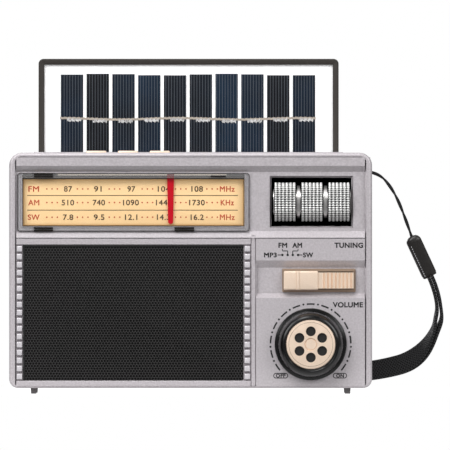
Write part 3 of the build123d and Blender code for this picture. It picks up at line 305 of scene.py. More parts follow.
def turned(profile, centre, along, steps=64):
    """A line of (radius, travel) points turned about an axis along X or Y through centre."""
    profile = np.asarray(profile, float)
    a = np.linspace(0, 2 * math.pi, steps, endpoint=False)
    r, t = profile[:, 0][:, None], profile[:, 1][:, None] + 0 * a
    if along == "y":
        points = np.stack([centre[0] + r * np.cos(a), t, centre[1] + r * np.sin(a)], -1)
    else:
        points = np.stack([t, centre[0] + r * np.cos(a), centre[1] + r * np.sin(a)], -1)
    return points.reshape(-1, 3), quads(len(profile), steps, loop_columns=True)


def frozen(obj):
    """A mesh of what obj shows: a curve's or a text's own mesh, or a mesh with its modifiers."""
    bpy.context.view_layer.update()
    graph = bpy.context.evaluated_depsgraph_get()
    return bpy.data.meshes.new_from_object(obj.evaluated_get(graph))


def points_of(mesh):
    """The mesh's points as rows of three."""
    co = np.empty(len(mesh.vertices) * 3)
    mesh.vertices.foreach_get("co", co)
    return co.reshape(-1, 3)


def carve(obj, cutters):
    """Cuts closed shapes, each as (points in mm, faces), out of obj for good."""
    for points, faces in cutters:
        mesh = bpy.data.meshes.new("cutter")
        mesh.from_pydata((np.asarray(points) * 0.001).tolist(), [], faces)
        outward(mesh, weld=False)
        tool = bpy.data.objects.new("cutter", mesh)
        scene.collection.objects.link(tool)
        cut = obj.modifiers.new("cut", "BOOLEAN")
        cut.object = tool
        cut.solver = "EXACT"
        solid = frozen(obj)
        obj.modifiers.clear()
        obj.data = solid
        bpy.data.objects.remove(tool)
    obj.data.set_sharp_from_angle(angle=math.radians(35))


def soften(obj, width_mm, segments=2):
    """Rounds every sharp edge, as a mould does."""
    made = obj.modifiers.new("soft_edges", "BEVEL")
    made.width = width_mm * 0.001
    made.segments = segments
    made.limit_method = "ANGLE"
    made.angle_limit = math.radians(32)
    made.harden_normals = True


def opening(box, r=0.02):
    """A straight cutter through the front wall, with corners of radius r."""
    return plate(box, r, [(0, -30), (0, -15)])


def drilling(centre, r, y0, y1, steps):
    """A closed cylinder along Y, to cut with or to show."""
    return turned([(0.01, y0), (r, y0), (r, y1), (0.01, y1)], centre, "y", steps)


def around_knob(radius, degrees):
    """The (x, z) places on a circle about the knob's axis, one for each angle."""
    a = np.radians(degrees)
    return np.stack([KNOB[0] + radius * np.cos(a), KNOB[1] + radius * np.sin(a)], 1)


# ---------------------------------------------------------------- finishes
# satin metallic-filled ABS: a fine sparkle and broad soft highlights
silver_abs = material(
    "satin_silver_abs", ("a8a2a5", "d6d0d4"), 0.9, (0.36, 0.5), 0.02, Metallic=0.3,
)
# polished black ABS: dark, with a clear reflection
gloss_black = material(
    "polished_black_abs", ("050505", "0a0a0b"), 2.0, (0.14, 0.22), 0.0, **{"Specular IOR Level": 0.4},
)
# spark-eroded black moulding inside openings: no shine, so that openings look deep
matt_black = material("spark_eroded_black", ("050505", "0a0a0a"), 0.4, (0.55, 0.7), 0.02)
# plated champagne: pale gold with a satin face
champagne = material("champagne_plating", ("ebd1b9", "fae5d1"), 0.5, (0.32, 0.45), 0.01, Metallic=0.35)
# the same plating in the slider's skirt and the disc's beads: a brown edge round the pale gold
champagne_dark = material("champagne_base", ("8d7865", "a38d78"), 0.4, (0.35, 0.5), 0.01, Metallic=0.4)
# silver ABS in the shade between the ribs: a flat darker grey
rib_shade = material("shaded_silver_abs", ("7b7579", "8a8488"), 0.5, (0.5, 0.6), 0.0)
# satin plating on the rib blocks: a little brighter than the cabinet round them
satin_plated = material("satin_plating", ("c9c5c9", "dfdbdf"), 0.4, (0.32, 0.42), 0.01, Metallic=0.3)
# drawn and pressed steel of shafts, screws and frames: grey metal with blurred reflections
steel = material("plain_steel", ("9a9a9c", "aeaeb0"), 0.6, (0.3, 0.45), 0.0, Metallic=1.0)
# enamelled copper wire of the aerial's coil: a brown metal sheen
copper = material("drawn_copper", ("a8602f", "bf7440"), 0.5, (0.35, 0.5), 0.05, Metallic=0.9)
# moulded ABS of the panel's frame: a warm black with a dull shine
dark_abs = material("grey_brown_abs", ("28231f", "35302b"), 0.5, (0.45, 0.6), 0.02)
# sintered ferrite: dark grey and dry, with a fine grain
ferrite = material("sintered_ferrite", ("222224", "303033"), 0.8, (0.6, 0.75), 0.03)
# glass epoxy board under its lacquer: a green gloss
circuit = material("green_glass_epoxy", ("12391f", "1c5230"), 3.0, (0.3, 0.4), 0.01)
# moulded epoxy of chips: black, with a dull face
chip_black = material("moulded_epoxy", ("111112", "1b1b1c"), 0.5, (0.5, 0.6), 0.02)
# pressed paper of the speaker's cone: black felted fibres without any shine
paper_cone = material("pressed_paper", ("141414", "202020"), 0.8, (0.8, 0.9), 0.05)
# PVC film shrunk over the battery cell: an even blue gloss
shrink_wrap = material("blue_shrink_wrap", ("1f4f8f", "2a5fa3"), 6.0, (0.25, 0.35), 0.0)
# drawn mast tubes, nickel and chrome plated: bright, with sharp reflections
mast_chrome = material("drawn_chrome", ("d2d3d6", "e6e7ea"), 1.5, (0.1, 0.18), 0.0, Metallic=1.0)
# printing inks: flat even colours without gloss
ink_black = material("black_print", ("0c0b0c", "151415"), 0.3, (0.6, 0.7), 0.0)
ink_brown = material("brown_print", ("3a2614", "49331e"), 0.3, (0.6, 0.7), 0.0)
ink_red = material("red_print", ("b8391a", "c44a28"), 0.3, (0.6, 0.7), 0.0)
ink_olive = material("olive_print", ("574a2a", "675a38"), 0.3, (0.6, 0.7), 0.0)
# white polyester film behind the cells: the brightest surface, with a faint painted glow (emission) that
# lifts it
backsheet = material(
    "white_backsheet", ("fafafa", "ffffff"), 1.5, (0.4, 0.5), 0.01,
    **{"Emission Color": linear("ffffff"), "Emission Strength": 0.12},
)
# hand-laid solder: rough, its colour noise running from painted white glints to painted dark hollows
solder = material("rough_solder", ("2f2c2a", "ffffff"), 1.3, (0.3, 0.5), 0.1)
# tinned copper ribbon: a dull beige line
ribbon_tin = material("tinned_ribbon", ("a09589", "c2b8aa"), 0.7, (0.4, 0.5), 0.05, Metallic=0.2)
# waxed thread: pale grey stitches that stand out on the rubber
stitch_grey = material("waxed_thread", ("9a9a9c", "b4b4b6"), 0.3, (0.7, 0.8), 0.05)
# the drum's plain necks: the same plating as its knurl, less polished
neck_plating = material("neck_plating", ("c4c2c0", "d8d6d4"), 0.8, (0.26, 0.34), 0.0, Metallic=0.9)
# painted shadow: dull brown-black bars that stand for the shaded gaps under the lens's clips
clip_black = material(
    "clip_gap_black", ("0d0a08", "1a1410"), 0.8, (0.5, 0.6), 0.0, **{"Specular IOR Level": 0.2},
)
# moulded bed behind the pointer's rail: grey, in the lens's shade
bed_grey = material("shaded_grey_abs", ("7d7875", "8c8784"), 0.5, (0.5, 0.6), 0.0)
# moulded feet: a plain darker grey
foot_grey = material("moulded_grey_feet", ("625e5f", "777374"), 0.5, (0.5, 0.6), 0.02)
# ground steel rail: a pale warm line with a painted glow (emission) that keeps it bright in the lens's shade
rail_cream = material(
    "ground_steel_rail", ("e9dccb", "f4eadd"), 0.8, (0.3, 0.4), 0.0,
    **{"Emission Color": linear("e9dccb"), "Emission Strength": 0.5},
)
# moulded rubber of the strap's tab: brown-black with a dull shine
keeper_rubber = material("moulded_rubber", ("1b1816", "272321"), 0.6, (0.28, 0.42), 0.02)
# braided polyester cord: soft black with no highlight
cord_braid = material("braided_cord", ("0c0c0d", "1a1a1b"), 0.4, (0.7, 0.85), 0.1)


def dial_edge_shade(tree, where, skin, tone):
    """Cream card with painted shade: darker over its last 1.5 mm, by how far each point is from the middle
    lines.
    """
    middle_x, middle_z = -0.0271, 0.09075
    place = add(tree, "SeparateXYZ", {0: where.outputs["Object"]})
    across = add(tree, "Math", {0: place.outputs["X"], 1: -middle_x}, operation="ADD")
    across = add(tree, "Math", {0: across}, operation="ABSOLUTE")
    across = add(tree, "MapRange", {"Value": across, "From Min": 0.0508, "From Max": 0.0523})
    up = add(tree, "Math", {0: place.outputs["Z"], 1: -middle_z}, operation="ADD")
    up = add(tree, "Math", {0: up}, operation="ABSOLUTE")
    up = add(tree, "MapRange", {"Value": up, "From Min": 0.0094, "From Max": 0.0109})
    # painted shade: the card darkens towards its edges, where the recess's walls would shade it
    rim = add(tree, "Math", {0: across, 1: up}, operation="MAXIMUM")
    rim = add(tree, "Math", {0: rim, 1: 1.6}, operation="POWER")
    card = add(tree, "Mix", {0: rim, 6: tone.outputs[2], 7: linear("dfae72")}, data_type="RGBA")
    tree.links.new(card.outputs[2], skin.inputs["Base Color"])


# printed cream card: even warm cream with a faint painted glow (emission), and painted shade at its edges
dial_card = material(
    "printed_cream_card", ("f9d097", "fbd7a2"), 6.0, (0.5, 0.6), 0.0, dial_edge_shade,
    **{"Emission Color": linear("f2c78c"), "Emission Strength": 0.07},
)


def knurl_valley_shade(tree, where, skin, tone):
    """Plated studs over valleys darkened with painted shade: the colour follows the distance from the drum's
    axis.
    """
    place = add(tree, "VectorMath", {
        0: where.outputs["Object"], 1: (0.0, -DRUM[1] * 0.001, -DRUM[2] * 0.001),
    }, operation="ADD")
    flat = add(tree, "VectorMath", {0: place, 1: (0.0, 1.0, 1.0)}, operation="MULTIPLY")
    reach = add(tree, "VectorMath", {0: flat}, operation="LENGTH")
    rise = add(tree, "MapRange", {
        "Value": reach.outputs["Value"], "From Min": 0.00975, "From Max": 0.01015,
    })
    # painted shade: near black where the surface sinks into the valleys
    face = add(tree, "Mix", {0: rise, 6: linear("191817"), 7: tone.outputs[2]}, data_type="RGBA")
    tree.links.new(face.outputs[2], skin.inputs["Base Color"])


# knurled and plated ABS: bright stud tops over valleys darkened with painted shade
knurl_plating = material(
    "knurled_plating", ("dededc", "f4f4f2"), 0.8, (0.24, 0.38), 0.0, knurl_valley_shade, Metallic=0.55,
)


def grille_pattern(tree, where, skin, tone):
    """Punched steel: a staggered lattice of round holes, 1.38 mm apart, each dark and sunk."""
    place = add(tree, "SeparateXYZ", {0: where.outputs["Object"]})
    pitch = 0.00138
    rise = pitch * math.sqrt(3) / 2
    lattices = []
    for shift in (0.0, 0.5):
        v = add(tree, "Math", {0: place.outputs["Z"], 1: 1 / (2 * rise)}, operation="MULTIPLY")
        v = add(tree, "Math", {0: v, 1: shift}, operation="ADD")
        u = add(tree, "Math", {0: place.outputs["X"], 1: 1 / pitch}, operation="MULTIPLY")
        u = add(tree, "Math", {0: u, 1: shift}, operation="ADD")
        u = add(tree, "Math", {0: u}, operation="FRACT")
        u = add(tree, "Math", {0: u, 1: -0.5}, operation="ADD")
        v = add(tree, "Math", {0: v}, operation="FRACT")
        v = add(tree, "Math", {0: v, 1: -0.5}, operation="ADD")
        v = add(tree, "Math", {0: v, 1: 2 * rise / pitch}, operation="MULTIPLY")
        flat = add(tree, "CombineXYZ", {0: u, 1: v})
        lattices.append(add(tree, "VectorMath", {0: flat}, operation="LENGTH").outputs["Value"])
    near = add(tree, "Math", {0: lattices[0], 1: lattices[1]}, operation="MINIMUM")
    web = add(tree, "MapRange", {"Value": near, "From Min": 0.38, "From Max": 0.43})
    face = add(tree, "Mix", {0: web, 6: linear("010101"), 7: tone.outputs[2]}, data_type="RGBA")
    tree.links.new(face.outputs[2], skin.inputs["Base Color"])
    sunk = add(tree, "Bump", {"Height": web, "Strength": 0.8, "Distance": 0.0004})
    tree.links.new(sunk.outputs[0], skin.inputs["Normal"])


# punched steel, painted black: a dull dark sheet broken by darker holes
grille_steel = material(
    "painted_punched_steel", ("2f2e2f", "403f3e"), 1.0, (0.45, 0.6), 0.0, grille_pattern,
    **{"Specular IOR Level": 0.15},
)


def cell_pattern(tree, where, skin, tone):
    """Silicon cells: each strip its own blue, by a cosine of its number, under pale fingers 1.35 mm apart."""
    place = add(tree, "SeparateXYZ", {0: where.outputs["Object"]})
    left_edge = (FIRST_CELL - CELL_PITCH / 2) * 0.001
    right_edge = left_edge + CELLS * CELL_PITCH * 0.001
    strip = add(tree, "MapRange", {
        "Value": place.outputs["X"], "From Min": left_edge, "From Max": right_edge, "To Max": float(CELLS),
    })
    strip = add(tree, "Math", {0: strip}, operation="FLOOR")
    turn = {0: strip, 1: 2 * math.pi / 3.5, 2: -1.8}
    chance = add(tree, "Math", turn, operation="MULTIPLY_ADD")
    chance = add(tree, "Math", {0: chance}, operation="COSINE")
    chance = add(tree, "MapRange", {
        "Value": chance, "From Min": 1.0, "From Max": -1.0, "To Min": 0.1,
    })
    patch = add(tree, "TexNoise", {"Vector": where.outputs["Object"], "Scale": 55.0, "Detail": 2.0})
    amount = add(tree, "Math", {0: chance, 1: patch}, operation="MULTIPLY")
    ends = {6: linear("080708"), 7: linear("132b42")}
    blue = add(tree, "Mix", {0: amount, **ends}, data_type="RGBA")
    finger = add(tree, "Math", {0: place.outputs["X"], 1: 1 / 0.00135}, operation="MULTIPLY")
    finger = add(tree, "Math", {0: finger}, operation="FRACT")
    finger = add(tree, "Math", {0: finger, 1: 0.24}, operation="LESS_THAN")
    faint = add(tree, "Math", {0: finger, 1: 0.62}, operation="MULTIPLY")
    face = add(tree, "Mix", {0: faint, 6: blue.outputs[2], 7: linear("5c6168")}, data_type="RGBA")
    tree.links.new(face.outputs[2], skin.inputs["Base Color"])


# cast silicon under its blue coating: near black to deep blue, with printed silver fingers
silicon = material(
    "blue_silicon", ("10141d", "1a2436"), 4.0, (0.3, 0.4), 0.0, cell_pattern, **{"Specular IOR Level": 0.2},
)


def weave_pattern(tree, where, skin, tone):
    """Woven nylon: two crossed sine ribs on the strip's own length and width.

    Real ribs are 0.9 mm apart; 1.4 mm is the finest that shows."""
    along = add(tree, "SeparateXYZ", {0: where.outputs["UV"]})
    warp = add(tree, "Math", {0: along.outputs["X"], 1: 2 * math.pi / 1.4}, operation="MULTIPLY")
    weft = add(tree, "Math", {0: along.outputs["Y"], 1: 2 * math.pi / 1.8}, operation="MULTIPLY")
    lean = add(tree, "Math", {0: warp, 1: weft}, operation="ADD")
    lift = add(tree, "Math", {0: warp, 1: weft}, operation="SUBTRACT")
    lean = add(tree, "Math", {0: lean}, operation="SINE")
    lift = add(tree, "Math", {0: lift}, operation="SINE")
    knit = add(tree, "Math", {0: lean, 1: lift}, operation="MAXIMUM")
    knit = add(tree, "MapRange", {"Value": knit, "From Min": -0.6, "From Max": 1.0})
    face = add(tree, "Mix", {0: knit, 6: linear("020202"), 7: linear("313132")}, data_type="RGBA")
    tree.links.new(face.outputs[2], skin.inputs["Base Color"])
    sunk = add(tree, "Bump", {"Height": knit, "Strength": 0.7, "Distance": 0.0003})
    tree.links.new(sunk.outputs[0], skin.inputs["Normal"])


# woven nylon: black ribs that catch a faint grey light
webbing_nylon = material(
    "woven_nylon", ("080808", "141415"), 0.5, (0.7, 0.85), 0.0, weave_pattern, **{"Specular IOR Level": 0.2},
)
webbing_nylon.node_tree.nodes["Principled BSDF"].inputs["Sheen Weight"].default_value = 0.05


def clear_plastic(name, alpha, tint):
    """Clear moulded acrylic: its gloss stays on the surface, and alpha is how much of its tint shows."""
    made = material(name, (tint, tint), 8.0, (0.16, 0.2), 0.0)
    made.node_tree.nodes["Principled BSDF"].inputs["Alpha"].default_value = alpha
    return made


# moulded acrylic lens: only its gloss shows over the dial
acrylic = clear_plastic("clear_acrylic", 0.015, "2a2c2d")
# the same acrylic where it turns a corner: painted dark reflections, painted bright glints beside them, and a
# faint grey lip
acrylic_edge = clear_plastic("acrylic_edge", 0.62, "2c2b2a")
acrylic_glint = clear_plastic("acrylic_glint", 0.3, "e4e6e7")
acrylic_lip = clear_plastic("acrylic_lip", 0.08, "b9b4b2")
# cast film over the cells: a slight gloss
cover_film = clear_plastic("cell_cover_film", 0.01, "202428")
# red moulded acrylic: a red blade with a painted glow (emission) that keeps it bright in the recess's shade
pointer_red = material(
    "red_acrylic", ("b60018", "c2051f"), 2.0, (0.3, 0.4), 0.0,
    **{"Specular IOR Level": 0.3, "Emission Color": linear("d00723"), "Emission Strength": 0.09},
)


# ---------------------------------------------------------------- wrist strap
def spline_line(name, route, samples):
    """Points at equal steps along the route's own smooth spline, in mm."""
    curve = bpy.data.curves.new(name, "CURVE")
    curve.dimensions = "3D"
    spline = curve.splines.new("NURBS")
    spline.points.add(len(route) - 1)
    for knot, place in zip(spline.points, route):
        knot.co = (place[0] * 0.001, place[1] * 0.001, place[2] * 0.001, 1)
    spline.order_u = 3
    spline.use_endpoint_u = True
    spline.resolution_u = 24
    obj = bpy.data.objects.new(name, curve)
    scene.collection.objects.link(obj)
    raw = points_of(frozen(obj)) * 1000
    bpy.data.objects.remove(obj)
    step = np.r_[0, np.cumsum(np.linalg.norm(np.diff(raw, axis=0), axis=1))]
    at = np.linspace(0, step[-1], samples)
    return np.stack([np.interp(at, step, raw[:, k]) for k in range(3)], 1), at


def unit(v):
    """Each row at length one."""
    return v / np.linalg.norm(v, axis=-1, keepdims=True)


def strap_frames(line, wide):
    """Tangent, width and thickness directions; wide is made square to the line."""
    run = unit(np.gradient(line, axis=0))
    wide = unit(wide - (wide * run).sum(1, keepdims=True) * run)
    return run, wide, np.cross(run, wide)


def band(line, at, wide, width, thick, corners=20):
    """A flat strap: at each station a superellipse of half-width and half-thickness, power 4."""
    run, wide, deep = strap_frames(line, wide)
    a = np.linspace(0, 2 * math.pi, corners, endpoint=False)
    c = np.sign(np.cos(a)) * np.abs(np.cos(a)) ** 0.5 * width / 2
    s = np.sign(np.sin(a)) * np.abs(np.sin(a)) ** 0.5 * thick / 2
    points, faces = closed(line[:, None] + wide[:, None] * c[:, None] + deep[:, None] * s[:, None])
    uv = np.stack(np.broadcast_arrays(at[:, None], c[None, :]), -1).reshape(-1, 2)
    return points, faces, uv


def strap_webbing():
    """One flat band out along the loop, round its far fold and back beside itself.

    Its width starts along Y and turns upright between 10% and 52% of its length, by 3 t^2 - 2 t^3. The
    two layers lie 0.86 mm either side of the line, and 0.55 mm more in one bump, exp(-(d / 0.03)^2)."""
    line, at = spline_line("webbing_line", WEB_ROUTE, 150)
    s = at / at[-1]
    turn = np.clip((s - 0.1) / 0.42, 0, 1)
    turn = (turn * turn * (3 - 2 * turn))[:, None]
    run = unit(np.gradient(line, axis=0))
    side = unit(np.cross(run, np.array((0.0, 1.0, 0.0))))
    upright = side * np.sign(side[-1, 2])
    wide = np.array((0.0, 1.0, 0.0)) * (1 - turn) + upright * turn
    run, wide, deep = strap_frames(line, wide)
    spread = (0.86 + 0.55 * np.exp(-((s - 0.165) / 0.03) ** 2))[:, None]
    a = np.linspace(-math.pi / 2, math.pi / 2, 9)[1:-1, None]
    r = spread[-1]
    fold = line[-1] + run[-1] * r * np.cos(a) - deep[-1] * r * np.sin(a)
    whole = np.concatenate([line + deep * spread, fold, (line - deep * spread)[::-1]])
    width_way = np.concatenate([wide, np.repeat(wide[-1:], len(a), 0), wide[::-1]])
    gap = np.r_[0, np.cumsum(np.linalg.norm(np.diff(whole, axis=0), axis=1))]
    points, faces, uv = band(whole, gap, width_way, 9.4, 1.65)
    loop = mesh_piece(
        "strap_webbing_loop", (points, faces), webbing_nylon, stands_for="strap_webbing", slot="strap",
        uv=uv,
    )
    return loop, line, at[-1]


def strap_cord():
    """Two strands wound round each other: each is carried on a helix about the line, 19 mm a turn."""
    line, at = spline_line("cord_line", CORD_ROUTE, 160)
    run, wide, deep = strap_frames(line, np.tile((0.0, 1.0, 0.0), (len(line), 1)))
    parts, uv = [], []
    for phase in (0, math.pi):
        turn = (at * 2 * math.pi / 19.0 + phase)[:, None]
        lay = line + (wide * np.cos(turn) + deep * np.sin(turn)) * 0.3
        p, f, u = band(lay, at, wide, 1.0, 1.0, corners=10)
        parts.append((p, f))
        uv.append(u)
    strands = mesh_piece(
        "strap_twisted_cord", merged(parts), cord_braid, stands_for="strap_cord", slot="cord",
        uv=np.concatenate(uv),
    )
    return strands, line, at[-1]


def strap_keeper():
    """The stitched tab: a flat superellipse section along its run, drawn in and rounded at the top.

    The section is 7.2 by 4.4 mm, with power 2 / 0.55, and a quarter circle scales it over the first 14%."""
    t = np.linspace(0, 1, 40)
    line = KEEPER_TOP + KEEPER_RUN * KEEPER_LONG * t[:, None]
    wide = np.tile(np.array((0.9, 0.15, 0.42)), (len(t), 1))
    run, wide, deep = strap_frames(line, wide)
    swell = np.minimum(1, np.sqrt(np.clip(1 - ((0.14 - t) / 0.14).clip(0, 1) ** 2, 0.03, 1)))
    swell = swell * np.where(t > 0.97, 0.94, 1.0)
    a = np.linspace(0, 2 * math.pi, 28, endpoint=False)
    c = np.sign(np.cos(a)) * np.abs(np.cos(a)) ** 0.55 * 3.6
    s = np.sign(np.sin(a)) * np.abs(np.sin(a)) ** 0.55 * 2.2
    section = wide[:, None] * c[:, None] + deep[:, None] * s[:, None]
    shape = closed(line[:, None] + section * swell[:, None, None])
    uv = np.stack(np.broadcast_arrays(t[:, None] * KEEPER_LONG, c[None, :]), -1).reshape(-1, 2)
    tab = mesh_piece(
        "strap_keeper_tab", shape, keeper_rubber, stands_for="strap_keeper", slot="strap", uv=uv,
    )
    stitches = []
    for k in range(14):
        middle = KEEPER_TOP + KEEPER_RUN * (4.4 + k * 1.2)
        centre = middle - wide[0] * 2.6 - deep[0] * np.sign(deep[0][1]) * 2.05
        piece = np.linspace(centre - KEEPER_RUN * 0.38, centre + KEEPER_RUN * 0.38, 4)
        p, f, u = band(piece, np.arange(4.0), np.tile(wide[0], (4, 1)), 0.42, 0.34, corners=8)
        stitches.append((p, f))
    thread = mesh_piece("keeper_stitches", merged(stitches), stitch_grey, slot="strap")
    return tab, thread


keeper, thread = strap_keeper()
cord_obj, cord_path, cord_length = strap_cord()
web_obj, web_path, web_length = strap_webbing()

# ---------------------------------------------------------------- floor
# A white surface under the radio, in metres: as bright as the air behind it to the camera, and
# dimmer to the radio, so that the lower front isn't lit from below.
floor_mesh = bpy.data.meshes.new("studio_floor")
floor_corners = [(-0.3, -0.06, 0), (0.32, -0.06, 0), (0.32, 0.2, 0), (-0.3, 0.2, 0)]
floor_mesh.from_pydata(floor_corners, [], [(0, 1, 2, 3)])
floor = bpy.data.objects.new("studio_floor", floor_mesh)
scene.collection.objects.link(floor)
pale = bpy.data.materials.new("pale_floor")
pale.use_nodes = True
tree = pale.node_tree
tree.nodes.clear()
mat = add(tree, "BsdfDiffuse", {"Color": (0.3, 0.3, 0.3, 1)})
sight = add(tree, "LightPath")
glare = add(tree, "MapRange", {"Value": sight.outputs["Is Camera Ray"], "To Min": 0.4, "To Max": 0.97})
glow = add(tree, "Emission", {"Color": (1, 1, 1, 1), "Strength": glare})
lit = add(tree, "AddShader", {0: mat, 1: glow})
add(tree, "OutputMaterial", {"Surface": lit})
floor_mesh.materials.append(pale)


# ---------------------------------------------------------------- cabinet front
def front_shell():
    """The front half's wall: an outline whose borders draw in row by row, as (side, top, base, y).

    The outer edge is a quarter ellipse. Then come a flat rim, a step down to the ledge that the face
    plates rest on, and the wall's inner face, which runs back to the split."""
    rows = [(0, 0, 0, SPLIT)]
    for t in np.linspace(0, math.pi / 2, 6):
        c, u = 1 - math.cos(t), 1 - math.sin(t)
        rows.append((1.5 * c, 1.2 * c, 0.7 * c, FACE + 1.4 * u))
    rows += [
        (2.72, 1.85, 0.72, FACE), (2.8, 1.93, 0.8, FACE + 0.1), (2.8, 1.93, 0.8, -18.8),
        (4.4, 4.4, 3.0, -18.8), (4.4, 4.4, 3.0, PLATE_BACK),
        (2.5, 2.5, 2.5, PLATE_BACK), (2.5, 2.5, 2.5, SPLIT),
    ]
    loops = []
    for side, top, base, y in rows:
        r_top = max(6 - (side + top) * 0.7, 1.6)
        r_base = max(4.4 - side, 1.2)
        box = (side - SIDE, SIDE - side, BASE + base, TOP - top)
        line = corner_line(box, (r_top, r_top, r_base, r_base), steps=9)
        loops.append(np.insert(line, 1, y, 1))
    n = len(loops[0])
    return np.concatenate(loops), quads(len(loops), n, loop_rows=True, loop_columns=True)


def relief(raised, floor, back):
    """Section of the upper front: band, slope, dial floor, slope."""
    return [
        (back, 112.1), (raised, 112.1), (raised, 108.0), (floor, 105.2),
        (floor, 77.1), (raised, 73.95), (back, 73.95),
    ]


def column(raised, floor, back):
    """Section of the right column: tuning plate, slider channel, volume plate."""
    return [
        (back, 73.6), (raised, 73.6), (raised, 63.2), (floor, 59.8), (floor, 47.6),
        (raised, 45.4), (raised, 3.55), (back, 3.55),
    ]


def shell_bar(name, x0, x1, section):
    """A straight bar of the front, in the cabinet's own finish."""
    return mesh_piece(name, bar(x0, x1, section), silver_abs, slot="shell")


def block(front, back, low, high):
    """A plain oblong section."""
    return [(back, high), (front, high), (front, low), (back, low)]


mesh_piece("front_shell", front_shell(), silver_abs, stands_for="front_cabinet", slot="shell")
upper = shell_bar("upper_face", -82.6, 82.6, relief(-22.85, FLOOR_Y, PLATE_BACK))
gutter = shell_bar("upper_gutter", -84.0, 84.0, relief(RIM_Y, FLOOR_Y + 0.1, RIM_BACK))
window_bevel = [(0, -24), (0, -20.5), (1.1, -19.2), (1.1, -17)]
for wall in (upper, gutter):
    carve(wall, [
        opening((-79.7, 25.5, 79.5, 104.2), 0.5),
        opening(WINDOW),
        plate((37.3, 77.25, 78.4, 103.5), 0.05, window_bevel),
    ])
    soften(wall, 0.28)
right_face = shell_bar("right_column", 31.0, 82.6, column(FACE, CHANNEL_Y, PLATE_BACK))
right_rim = shell_bar("right_gutter", 30.9, 84.0, column(RIM_Y, CHANNEL_Y + 0.1, RIM_BACK))
for wall in (right_face, right_rim):
    carve(wall, [drilling(KNOB, 4.2, -30, -15, 48), opening((50.4, 64.0, 51.5, 55.1))])
    soften(wall, 0.28)
surround = [
    (SURROUND_BACK, 73.6), (FACE, 73.6), (FACE, 70.7), (-21.5, 70.7),
    (-21.5, 6.2), (FACE, 6.2), (FACE, 3.55), (SURROUND_BACK, 3.55),
]
soften(shell_bar("speaker_surround", -82.6, 28.5, surround), 0.25)
shell_bar("divider_groove", 28.2, 31.3, block(-21.4, SURROUND_BACK, 3.6, 75.6))
soften(shell_bar("divider_rib", 28.85, 30.65, block(-22.45, SURROUND_BACK, 3.7, 75.5)), 0.2)
shell_bar("left_gutter", -84.0, -82.3, block(RIM_Y, SURROUND_BACK, 4.1, 73.8))


# ---------------------------------------------------------------- grille and rib strips
mesh_piece(
    "punched_grille",
    plate((-79.3, 25.0, 6.4, 70.5), 0.8, edge(-22.05, -21.4, 0.4)),
    grille_steel, stands_for="speaker_grille", slot="grille",
)
folds = [(-79.4, -78.6, 6.4, 70.5), (-79.4, 25.05, 69.7, 70.5)]
mesh_piece(
    "grille_fold", merged([plate(box, 0.2, edge(-22.45, -21.4, 0.25)) for box in folds]), matt_black,
    slot="grille",
)


def rib_blocks(x0, x1, count=17):
    """Square blocks on an even pitch: centres at foot + (k + 1/2) height / count."""
    parts = []
    for k in range(count):
        z = RIB_FOOT + (k + 0.5) * (RIB_HEAD - RIB_FOOT) / count
        parts.append(plate((x0, x1, z - 1.35, z + 1.35), 0.25, edge(-22.95, -21.5, 0.4), steps=3))
    return merged(parts)


backings = [(-82.6, -79.5, RIB_FOOT, RIB_HEAD), (25.2, 28.45, RIB_FOOT, RIB_HEAD)]
mesh_piece(
    "rib_backing", merged([plate(box, 0.1, edge(-21.75, -21.4, 0.1)) for box in backings]), rib_shade,
    slot="plated",
)
for side, x0, x1 in (("left", -82.4, -79.8), ("right", 25.5, 28.2)):
    blocks = rib_blocks(x0, x1)
    mesh_piece("rib_blocks_" + side, blocks, satin_plated, stands_for="rib_strip_" + side, slot="plated")


# ---------------------------------------------------------------- dial
def lettering(name, words, skin, y, slot, weight):
    """Words of the plain built-in face, each scaled to its cap height and width and stood on the face.

    weight, a share of the letter size, grows every outline outwards, as a bolder face does."""
    def shape(text):
        """Points and faces of a word at size one."""
        curve = bpy.data.curves.new("words", "FONT")
        curve.body = text
        curve.size = 1.0
        curve.bevel_depth = weight
        curve.bevel_resolution = 0
        curve.space_character = 1.08
        obj = bpy.data.objects.new("words", curve)
        scene.collection.objects.link(obj)
        mesh = frozen(obj)
        bpy.data.objects.remove(obj)
        return points_of(mesh), [list(p.vertices) for p in mesh.polygons]

    cap = np.ptp(shape("H")[0][:, 1])
    parts = []
    for text, x, z, tall, wide in words:
        co, faces = shape(text)
        low, high = co.min(0), co.max(0)
        sx = wide / (high[0] - low[0])
        sz = tall / cap
        px = x + (co[:, 0] - (low[0] + high[0]) / 2) * sx
        pz = z + (co[:, 1] - cap / 2 + weight) * sz
        parts.append((np.stack([px, y - co[:, 2] * 0.03 / weight, pz], 1), faces))
    return mesh_piece(name, merged(parts), skin, slot=slot)


def dots(places, r, y):
    """Small round dots, one 12-sided plate each."""
    profile = [(0.001, y), (r, y), (r, y + PRINT_THICK), (0.001, y + PRINT_THICK)]
    return merged([turned(profile, place, "y", 12) for place in places])


def strokes(lines, width, y):
    """Straight printed strokes: each a thin bar between two (x, z) ends."""
    sides = [[0, 1, 2, 3], [7, 6, 5, 4], [0, 4, 5, 1], [1, 5, 6, 2], [2, 6, 7, 3], [3, 7, 4, 0]]
    parts = []
    for (xa, za), (xb, zb) in lines:
        d = np.array((xb - xa, zb - za))
        n = np.array((-d[1], d[0])) / np.hypot(*d) * width / 2
        ring = np.array([(xa, za) + n, (xb, zb) + n, (xb, zb) - n, (xa, za) - n])
        points = np.concatenate([np.insert(ring, 1, y, 1), np.insert(ring, 1, y + PRINT_THICK, 1)])
        parts.append((points, sides))
    return merged(parts)


mesh_piece(
    "dial_backing", plate((-82.0, 27.6, 75.6, 101.7), 0.2, edge(-18.05, -16.6, 0.2)), dial_card,
    stands_for="dial_plate", slot="dial_face",
)
mesh_piece("dial_card", plate(DIAL, 0.3, edge(-18.45, -17.9, 0.12)), dial_card, slot="dial_face")
